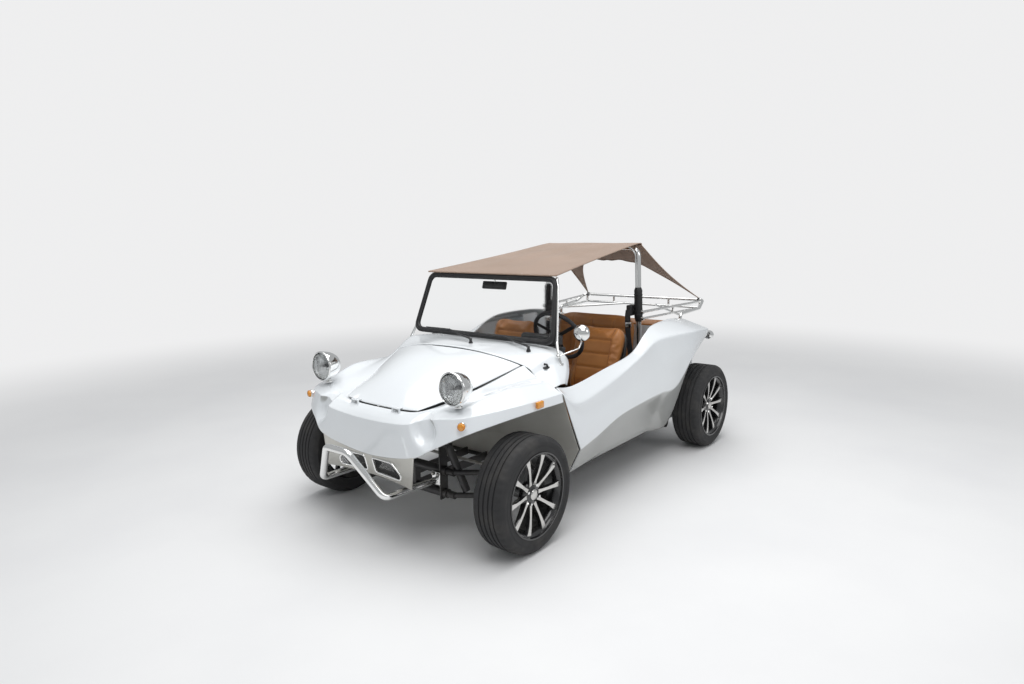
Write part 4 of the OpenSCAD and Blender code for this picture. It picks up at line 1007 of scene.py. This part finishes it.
for y in (-.16, -.06, .04, .14):
    welts += seam(backrest, [mid_b + up_b * y - fwd_b * .3 + (x, 0, 0) for x in np.linspace(-.122, .122, 22)],
                  fwd_b, .0012, piping, .005)
frame_bits = [rbox("seat_pan", (-.200, SEAT_Y - .240, PAN_Z - .068), (.200, SEAT_Y + .190, PAN_Z - .052), black,
                   .006), rbox("seat_box", (-.160, SEAT_Y - .190, PAN_TOP + .030),
                               (.160, SEAT_Y + .145, PAN_Z - .062), black, .008)]
for s in (-1, 1):
    frame_bits.append(rbox("seat_slide", (s * .150 - .012, SEAT_Y - .200, PAN_TOP + .0003),
                           (s * .150 + .012, SEAT_Y + .150, PAN_TOP + .032), steel, .003))
    frame_bits.append(tube("recline", [(s * .205, SEAT_Y + .150, PAN_Z - .02),
                                       (s * .207, SEAT_Y + .175, PAN_Z + .10)], .011, black))
shell_back = soft_block("seat_shell", (SEAT_W - .030, .48, .030),
                        back_mx @ Matrix.Translation((0, -.01, -.046)), black, 0, 0, 10, .004)
welt_obj = join("seat_welts", welts)
frame_obj = join("seat_frame", frame_bits + [shell_back])
for s, tag in ((1, "left"), (-1, "right")):
    for src, label in ((base, "cushion"), (backrest, "back"), (welt_obj, "welts"), (frame_obj, "frame")):
        me = src.data.copy()
        me.transform(Matrix.Translation((s * .380, 0, 0)))
        c = bpy.data.objects.new("front_seat_%s_%s" % (tag, label), me)
        scene.collection.objects.link(c)
        put(c, "chassis", *(["front_seat_" + tag] if label == "cushion" else []))
for o in (base, backrest, welt_obj, frame_obj):
    bpy.data.objects.remove(o)

# Height of the bench's back
BH = .575
b_top = AZ - .090
b_back_y = .980 - .090 - BH * math.sin(math.radians(8)) - .002
bm_m = Matrix.Translation((0, (RA - .660 + b_back_y + .020) / 2, b_top - .065))
bb_m = (Matrix.Translation((0, b_back_y, b_top - .110)) @ turned(-8, "X")
        @ Matrix.Translation((0, .045, BH / 2)) @ FORWARD)
bench = inflate(soft_block("bench_cushion", fitted((.756, b_back_y + .020 - RA + .660, .126), CAP), bm_m,
                           leather, .014, 0), .008, CAP)
bback = inflate(soft_block("bench_back", fitted((.752, BH - .006, .086), CAP), bb_m, leather, .010, 0), .008,
                CAP)
w2 = []
for x in (-.19, 0, .19):
    w2 += seam(bench, [(x, y, 1.2) for y in np.linspace(RA - .640, b_back_y - .03, 18)], (0, 0, -1), .0016,
               piping, .005)
    w2 += seam(bback, [(x, .2, z) for z in np.linspace(b_top + .02, b_top + .385, 24)], (0, 1, 0), .0016,
               piping, .005)
w2 += seam(bback, [(x, .2, b_top + .33) for x in np.linspace(-.345, .345, 50)], (0, 1, 0), .0022, piping, .005)
put(join("bench_welts", w2))
put(rbox("bench_plinth", (-.350, RA - .600, PAN_TOP + .1203), (.350, b_back_y - .005, b_top - .122), black,
         .008), "chassis")
put(bench, "chassis", "rear_bench")
put(bback)

# ---------------------------------------------------------------- hoop, rail and top
# Hoop: y and z of its top bar's middle line, and the tube's radius
HY, HZ, HR = RA - .357, AZ + .890, .022
foot_z = AZ - .090 + .0003
leg_x, top_x = .430, .408


def hoop_x(z):
    return leg_x - (leg_x - top_x) * (z - foot_z) / (HZ - HR - foot_z)


hoop = [tube("hoop_tube", arc_path([(leg_x, HY, foot_z + .008), (top_x, HY, HZ - HR), (-top_x, HY, HZ - HR),
                                    (-leg_x, HY, foot_z + .008)], .075, 12), HR, chrome, 32)]
for s in (-1, 1):
    hoop.append(revolve("hoop_foot", [(.022, .016), (.025, .010), (.034, .008), (.034, 0), (0, 0)], chrome,
                        (s * leg_x, HY, foot_z), "Z", 40))
    for k in range(3):
        a = math.radians(120 * k + 30)
        hoop.append(revolve("hoop_bolt", [(0, .014), (.005, .014), (.006, .012), (.006, .008)], steel,
                            (s * leg_x + .0285 * math.cos(a), HY + .0285 * math.sin(a), foot_z), "Z", 6))
put(join("roll_hoop_full", hoop), "chassis", "roll_hoop")
belts = []
for s in (-1, 1):
    z = np.linspace(.985, 1.245, 12)
    # Black sleeves with ties on the hoop's legs: a painted reflection, standing for the dark that the chrome
    # reflects there
    belts.append(tube("hoop_reflection_sleeve", [(s * hoop_x(v), HY, v) for v in z],
                      [.0225] + [.030 + .0012 * (k % 2) for k in range(10)] + [.0225], rubber, 28))
    for tie_z in (1.04, 1.19):
        belts.append(tube("reflection_sleeve_tie", [(s * hoop_x(tie_z) + x, HY + y, tie_z) for x, y in circle(28, .0318)],
                          .0022, plastic, 8, True))
    belts.append(rbox("belt_reel", (s * .385, HY - .050, 1.030), (s * .340, HY + .020, 1.110), plastic, .008,
                      4))
    path = [np.array(p) for p in [(s * .362, HY - .052, 1.075), (s * .366, HY - .070, 1.020),
                                  (s * .372, HY - .072, .90), (s * .378, HY - .060, .80),
                                  (s * .384, HY - .040, .70), (s * .388, HY - .028, .625)]]
    fine = [along(path, t) for t in np.linspace(0, 1, 24)]
    strip = []
    for p in fine:
        for dx, dy in ((-.023, -.0007), (.023, -.0007), (.023, .0007), (-.023, .0007)):
            strip.append(p + (dx, dy, 0))
    belts.append(mesh("belt_strap", strip, [tuple(reversed(f)) for f in grid_faces(24, 4, True)] +
                      [(3, 2, 1, 0), (92, 93, 94, 95)], webbing, sharp=30))
    belts.append(rbox("belt_tongue", (s * .398, HY - .078, .945), (s * .350, HY - .068, .985), chrome, .004))
    belts.append(rbox("belt_anchor", (s * .410, HY - .040, .600), (s * .366, HY - .014, .630), black, .004))
put(join("belts_and_reflection_sleeves", belts))
DECK_Z = AZ + .257
put(join("deck_trim", [rbox("deck_mat", (-.500, .992, DECK_Z + .0005), (.500, RA + .030, DECK_Z + .014),
                            leather, .006, 4)]))
lp0 = cowl_point(2.9, .62)
latch = [rbox("latch_base", (lp0[0] - .012, lp0[1] - .020, lp0[2] - .004),
              (lp0[0] + .012, lp0[1] + .020, lp0[2] + .006), plastic, .003, 3),
         tube("latch_lever", [lp0 + (0, .012, .004), lp0 + (0, .004, .020), lp0 + (0, -.018, .024)],
              [.006, .005, .0065], plastic, 12)]
put(join("cowl_latch", latch))

# Rear rail: tube radius, z of the upper and lower tube, y of the back tube, half its length
RR, RT, RL, RY, RH = .0125, AZ + .400, AZ + .335, RA + .480 - .0125, .580
fx, fy, fz = HALF_W - .200 - .030, RA + .055, DECK_Z + .0003
half = [(RH, RY, RT), (RH + .020, RY - .120, RL + .010), (fx, fy, fz + .070), (fx, fy, fz + .008)]
rail = [tube("rail_tube", arc_path([(-x, y, z) for x, y, z in half[::-1]] + half, .030, 8), RR, chrome, 20),
        tube("rail_low", [(-RH + .022, RY, RL), (RH - .022, RY, RL)], RR * .8, chrome, 16)]
for x in (-.270, 0, .270):
    rail.append(tube("rail_post", [(x, RY, RL), (x, RY, RT)], RR * .7, chrome, 14))
for s in (-1, 1):
    rail.append(tube("rail_corner", [(s * (RH - .026), RY, RL), (s * (RH - .026), RY, RT)], RR * .8, chrome,
                     14))
    rail.append(revolve("rail_foot", [(.0125, .016), (.015, .010), (.026, .008), (.026, 0), (0, 0)], chrome,
                        (s * fx, fy, fz), "Z", 32))
    rail.append(tube("rail_brace", [(s * .150, RY, RL), (s * (fx - .004), fy + .006, fz + .060)], RR * .7,
                     chrome, 14))
    for z, r in ((RT - .020, RR * .8), (RL - .005, RR * .7)):
        end = (s * (hoop_x(z) + HR + r + .0003), HY, z)
        start = (s * (RH - .006 if z > RL else RH - .026), RY - .010, z + .012 if z > RL else z + .004)
        rail.append(tube("side_rail", [start, end], r, chrome, 14))
        rail.append(rbox("rail_clamp", (end[0] - .016, HY - .012, z - .013),
                         (end[0] + .016, HY + .012, z + .013), chrome, .004))
    a = np.array([RH - .006, RY - .010, RT - .008])
    b = np.array([hoop_x(RT) + HR + .0103, HY, RT - .020])
    c = np.array([RH - .026, RY - .010, RL + .004])
    d = np.array([hoop_x(RL) + HR + .009, HY, RL - .005])
    rail.append(tube("side_post", [(a * .5 + b * .5) * (s, 1, 1), (c * .5 + d * .5) * (s, 1, 1)], RR * .65,
                     chrome, 12))
put(join("rear_rail_full", rail), "chassis", "rear_rail")

# Cloth top: one sheet from the screen's header over the hoop and down in two tails to the rail's corners
fy0, fz0 = SY + SH * math.sin(LEAN), SZ + SH * math.cos(LEAN)
half_front = SW / 2 - SH * TAPER + .006
lift = .004 + .015 * math.sin(LEAN) + .0003
# Rows of the taut part: y, z in the middle, half width, z at the edge
span = [(fy0 - .020, fz0 + lift - .001, half_front, fz0 + lift - .001),
        ((fy0 * 2 + HY) / 3, (fz0 * 2 + HZ) / 3 + .018, half_front - .062, (fz0 * 2 + HZ) / 3 + .004),
        ((fy0 + HY * 2) / 3, (fz0 + HZ * 2) / 3 + .011, half_front - .105, (fz0 + HZ * 2) / 3 + .002),
        (HY, HZ + .0035, top_x + .004, HZ + .0035),
        (HY + .045, HZ - .010, top_x + .008, HZ - .012)]
spanp = [np.array(r) for r in span]
US = np.linspace(-1, 1, 61)
rows = []
for k in range(57):
    r = along(spanp, k / 56)
    billow = .006 * math.sin(math.pi * min(1, k / 44))
    row = []
    for u in US:
        z = r[1] + (r[3] - r[1]) * u * u - billow * math.cos(u * 9.5) * (1 - .4 * abs(u))
        z -= .0025 * math.sin(k * .55 + u * 5) * (1 - abs(u)) ** .5 * math.sin(math.pi * k / 56)
        row.append(np.array([u * r[2], r[0], z]))
    rows.append(row)
tipx, tipy, tipz = RH - .036, RY - .004, RT + RR + .0040
last = rows[-1]
for k in range(1, 41):
    t = k / 40
    row = []
    for j, u in enumerate(US):
        e = abs(u) ** 4.6
        end = np.array([u * (tipx * (.76 + .24 * e)), HY + .250 + (tipy - HY - .250) * e, 0])
        end[2] = HZ - .012 - (HZ - .012 - tipz) * (end[1] - HY - .045) / (tipy - HY - .045)
        p = last[j] * (1 - t) + end * t
        sag = .030 * math.sin(math.pi * t) * (.35 + .65 * (1 - abs(u)) * 1.2) * (0.35 + e)
        p = p - (0, 0, sag)
        p[0] -= math.copysign(.022 * math.sin(math.pi * t) * max(0, abs(u) - .75) * 4 * e, u) if u else 0
        p[2] += .004 * math.sin(18 * abs(u) + 3 * t) * t * (1 - e)
        row.append(p)
    rows.append(row)
top = np.array(rows)
cloth = mesh("cloth_top", top.reshape(-1, 3), grid_faces(*top.shape[:2]), canvas, sharp=None)
mod(cloth, "SOLIDIFY", thickness=.0022, offset=-1)
apply(cloth)
put(cloth, "chassis", "canvas_top")


def hem(pts, r=.0038):
    pts = [np.array(p) - (0, 0, .0010) for p in pts]
    return tube("hem", pts, r, canvas, 8)


hems = [hem(top[:, 0]), hem(top[:, -1]), hem(top[-1, :]), hem(top[0, :] + (0, .001, -.001), .0048)]
for j in (1, -2):
    hems.append(tube("stitch", [p + (0, 0, .0006) for p in top[2:-6, j]], .0009, piping, 5))
for j in (20, 40):
    hems.append(tube("top_seam", [p + (0, 0, .0008) for p in top[:56, j]], .0016, canvas, 6))
hems.append(tube("hoop_seam", [p + (0, 0, .0008) for p in top[50, 1:-1]], .0014, canvas, 6))
for s in (-1, 1):
    for k in range(7):
        x = s * half_front * (.12 + .13 * k)
        hems.append(revolve("snap", [(0, .0022), (.004, .002), (.0062, .0008), (.0064, 0)], chrome,
                            (x, fy0 - .014, fz0 + lift + .0002), "Z", 16))
    tie = [np.array([s * tipx, RY + y, RT + z]) for y, z in circle(24, .0158)]
    for dx in (-.006, .006):
        hems.append(tube("tail_tie", [p + (dx, 0, 0) for p in tie], .0024, webbing, 8, True))
hem_obj = join("cloth_hems", hems)
put(hem_obj)


# ---------------------------------------------------------------- wheels
def wheel(width, side_sign):
    """A tyre and a rim about the origin, outer face towards +X for the left side and -X for the right."""
    h, lip, R0 = width / 2, .233, .316
    prof = [(lip + .0003, -h + .007), (lip + .008, -h + .005), (lip + .016, -h + .0055),
            (lip + .022, -h + .003), (lip + .045, -h), (lip + .050, -h - .0006), (lip + .054, -h + .0004),
            (R0 - .020, -h + .0065), (R0 - .013, -h + .011), (R0 - .0065, -h + .017), (R0 - .003, -h + .024)]
    treadx = h - .030
    pts = [(R0 - .0012, -treadx)]
    for g in (-.62, -.21, .21, .62):
        c = g * treadx
        pts += [(R0 - .0004 * abs(g), c - .0052), (R0 - .0068, c - .0036), (R0 - .0068, c + .0036),
                (R0 - .0004 * abs(g), c + .0052)]
    pts.append((R0 - .0012, treadx))
    full = prof + pts + [(r, -x) for r, x in prof[::-1]]
    segs = 180
    o = revolve("tyre", full, tyre_rubber, (0, 0, 0), "X", segs, sharp=28)
    me = o.data
    for v in me.vertices:
        r = math.hypot(v.co.y, v.co.z)
        ang = math.atan2(v.co.z, v.co.y)
        k = int(round(ang / (2 * math.pi) * segs)) % segs
        x = v.co.x
        cut = 0
        if r > R0 - .0045 and abs(x) > .62 * treadx + .006 and (k + (1 if x > 0 else 0)) % 4 == 0:
            cut = .0052
        elif R0 - .009 > r > R0 - .021 and abs(x) > h - .012 and k % 4 == (0 if x < 0 else 3):
            cut = .0028
        if cut:
            v.co.y *= (r - cut) / r
            v.co.z *= (r - cut) / r
    bead_line = revolve("bead_line", [(lip + .030, h), (lip + .0314, h + .0004), (lip + .0328, h)], tyre_rubber,
                        (0, 0, 0), "X", 96)
    tyre_o = join("tyre", [o, bead_line])
    hf = h - .004
    barrel = [(lip, -hf), (lip - .008, -hf + .001), (lip - .010, -hf + .006), (lip - .036, -hf + .026),
              (lip - .034, hf - .060), (lip - .030, hf - .030), (lip - .020, hf - .017),
              (lip - .012, hf - .012), (lip - .0095, hf - .004), (lip - .0085, hf + .0005),
              (lip - .004, hf + .0015), (lip, hf), (lip - .001, hf - .006), (lip - .012, hf - .014),
              (lip - .029, hf - .040), (lip - .031, -hf + .030), (lip - .012, -hf + .012),
              (lip - .0005, -hf + .006)]
    pieces = [revolve("barrel", barrel, rim_black, (0, 0, 0), "X", 96)]
    face = hf - .020
    spokes = []
    for i in range(10):
        stations = [(.046, face - .020, .0150, .034), (.078, face - .014, .0105, .034),
                    (.120, face - .005, .0100, .030), (.165, face + .002, .0125, .026),
                    (.200, face + .004, .0175, .020), (lip - .0115, face + .0035, .0230, .012)]
        v = []
        for r, x, w, d in stations:
            for yy, xx in ((-w * .78, x - d), (-w, x - .006), (-w * .80, x), (-.0012, x + .0002),
                           (.0012, x + .0002), (w * .80, x), (w, x - .006), (w * .78, x - d)):
                v.append((xx, yy, r))
        f = [tuple(reversed(q)) for q in grid_faces(len(stations), 8,
                                                    True)] + [tuple(range(8)),
                                                              tuple(8 * (len(stations) - 1) + q
                                                                    for q in range(7, -1, -1))]
        sp = mesh("spoke", v, f, [rim_black, alloy], True, 25)
        for p in outward(sp).data.polygons:
            p.material_index = 1 if p.normal.x > .80 else 0
        sp.matrix_world = turned(36 * i, "X")
        spokes.append(sp)
    bpy.context.view_layer.update()
    pieces += spokes
    pieces.append(revolve("hub", [(0, face - .010), (.024, face - .0105), (.028, face - .013),
                                  (.046, face - .017), (.070, face - .024), (.076, face - .030),
                                  (.078, face - .052), (.040, face - .056), (.038, -.046), (.0150, -.046)],
                          rim_black, (0, 0, 0), "X", 64))
    pieces.append(revolve("hub_cap", [(0, face - .004), (.018, face - .0045), (.026, face - .0065),
                                      (.029, face - .0095), (.029, face - .014)], alloy, (0, 0, 0), "X", 48))
    for k in range(4):
        a = math.radians(45 + 90 * k)
        pieces.append(revolve("lug", [(0, face - .006), (.006, face - .0065), (.0085, face - .0085),
                                      (.0088, face - .024)], chrome,
                              (0, .052 * math.cos(a), .052 * math.sin(a)), "X", 6))
    va = math.radians(18)
    pieces.append(tube("valve", [(hf - .014, .205 * math.cos(va), .205 * math.sin(va)),
                                 (hf + .001, .199 * math.cos(va), .199 * math.sin(va))], .0032, rubber, 8))
    rim_o = join("rim", pieces)
    if side_sign < 0:
        a, b = mirrored(tyre_o, "tyre_m"), mirrored(rim_o, "rim_m")
        bpy.data.objects.remove(tyre_o)
        bpy.data.objects.remove(rim_o)
        return a, b
    return tyre_o, rim_o


for e, width, track, y in (("front", .205, 1.513, FA), ("rear", .215, 1.565, RA)):
    for s, tag in ((1, "left"), (-1, "right")):
        t_o, r_o = wheel(width, s)
        for o, kind in ((t_o, "tyre"), (r_o, "rim")):
            o.data.transform(turned(7 + 11 * s, "X"))
            o.data.transform(Matrix.Translation((s * track / 2, y, WZ)))
            o.name = "%s_%s_%s_full" % (kind, e, tag)
            put(o, "wheel_%s_%s" % (e, tag), "%s_%s_%s" % (kind, e, tag))

# ---------------------------------------------------------------- carried-over pieces
# The front bulkhead takes the darker gelcoat copy: painted shade in the wheel wells
for name, m, w in (("floor_pan", pan_paint, .003), ("front_bulkhead", shaded, .002),
                   ("rear_tub", gelcoat, .003), ("fuel_tank", black, .012), ("steering_column", black, .002),
                   ("driver_controls", black, .002), ("front_axle", black, .002), ("knuckle_left", steel, .002),
                   ("knuckle_right", steel, .002), ("tie_rods", steel, .001), ("rear_axle", black, .003),
                   ("engine", engine_grey, .014), ("exhaust", steel, .002)):
    o = nodes[name]
    o.data.materials.clear()
    o.data.materials.append(m.m)
    for p in o.data.polygons:
        p.material_index = 0
    mod(o, "BEVEL", width=w, segments=2, limit_method="ANGLE", angle_limit=math.radians(40))

# ---------------------------------------------------------------- floor and light
floor_m = Mat("studio_floor", (0.82, 0.82, 0.82), 0.6)
floor_m.vary((0.78, 0.78, 0.785), 0.9).bump(floor_m.noise(3, 3), 0.02, 0.004)
far = floor_m.node("VectorMath", operation="LENGTH")
floor_m.wire(floor_m.co.outputs["Object"], far.inputs[0])
fade = floor_m.node("MapRange", interpolation_type="SMOOTHSTEP")
fade.inputs["From Min"].default_value = 3.2
fade.inputs["From Max"].default_value = 8.5
floor_m.wire(far.outputs["Value"], fade.inputs["Value"])
BACKDROP = (0.86, 0.86, 0.865, 1)


def seen_rays(tree):
    """1 for what the camera sees, straight on or through glass."""
    path = tree.nodes.new("ShaderNodeLightPath")
    either = tree.nodes.new("ShaderNodeMath")
    either.operation = "MAXIMUM"
    tree.links.new(path.outputs["Is Camera Ray"], either.inputs[0])
    tree.links.new(path.outputs["Is Transmission Ray"], either.inputs[1])
    return either.outputs[0]


both = floor_m.node("Math", operation="MULTIPLY")
floor_m.wire(fade.outputs[0], both.inputs[0])
floor_m.wire(seen_rays(floor_m.t), both.inputs[1])
glow = floor_m.node("Emission")
glow.inputs["Color"].default_value = BACKDROP
blend = floor_m.node("MixShader")
out = next(n for n in floor_m.t.nodes if n.bl_idname == "ShaderNodeOutputMaterial")
floor_m.wire(both.outputs[0], blend.inputs["Fac"])
floor_m.wire(floor_m.b.outputs[0], blend.inputs[1])
floor_m.wire(glow.outputs[0], blend.inputs[2])
floor_m.wire(blend.outputs[0], out.inputs["Surface"])
fl = mesh("studio_floor_plane", [(-60, -60, 0), (60, -60, 0), (60, 60, 0), (-60, 60, 0)], [(0, 1, 2, 3)],
          floor_m, False)
world = bpy.data.worlds.new("studio")
scene.world = world
world.use_nodes = True
wt = world.node_tree
bg = wt.nodes["Background"]
bg.inputs["Color"].default_value = (0.86, 0.88, 0.90, 1)
bg.inputs["Strength"].default_value = 0.50
backdrop = wt.nodes.new("ShaderNodeBackground")
backdrop.inputs["Color"].default_value = BACKDROP
mixw = wt.nodes.new("ShaderNodeMixShader")
wt.links.new(seen_rays(wt), mixw.inputs["Fac"])
wt.links.new(bg.outputs[0], mixw.inputs[1])
wt.links.new(backdrop.outputs[0], mixw.inputs[2])
wt.links.new(mixw.outputs[0], wt.nodes["World Output"].inputs["Surface"])


def area_light(name, at, aim, size, power):
    d = bpy.data.lights.new(name, "AREA")
    d.shape, d.size, d.size_y, d.energy = "RECTANGLE", size[0], size[1], power
    o = bpy.data.objects.new(name, d)
    scene.collection.objects.link(o)
    o.location = at
    o.rotation_euler = (Vector(aim) - Vector(at)).to_track_quat("-Z", "Y").to_euler()


area_light("key", (1.8, -2.6, 5.0), (0, -.2, .6), (3.2, 2.8), 90)
area_light("top", (-.2, .2, 5.2), (0, .1, .8), (5.0, 5.0), 185)
area_light("side", (5.5, .6, 3.4), (0, .1, .7), (2.4, 2.0), 40)
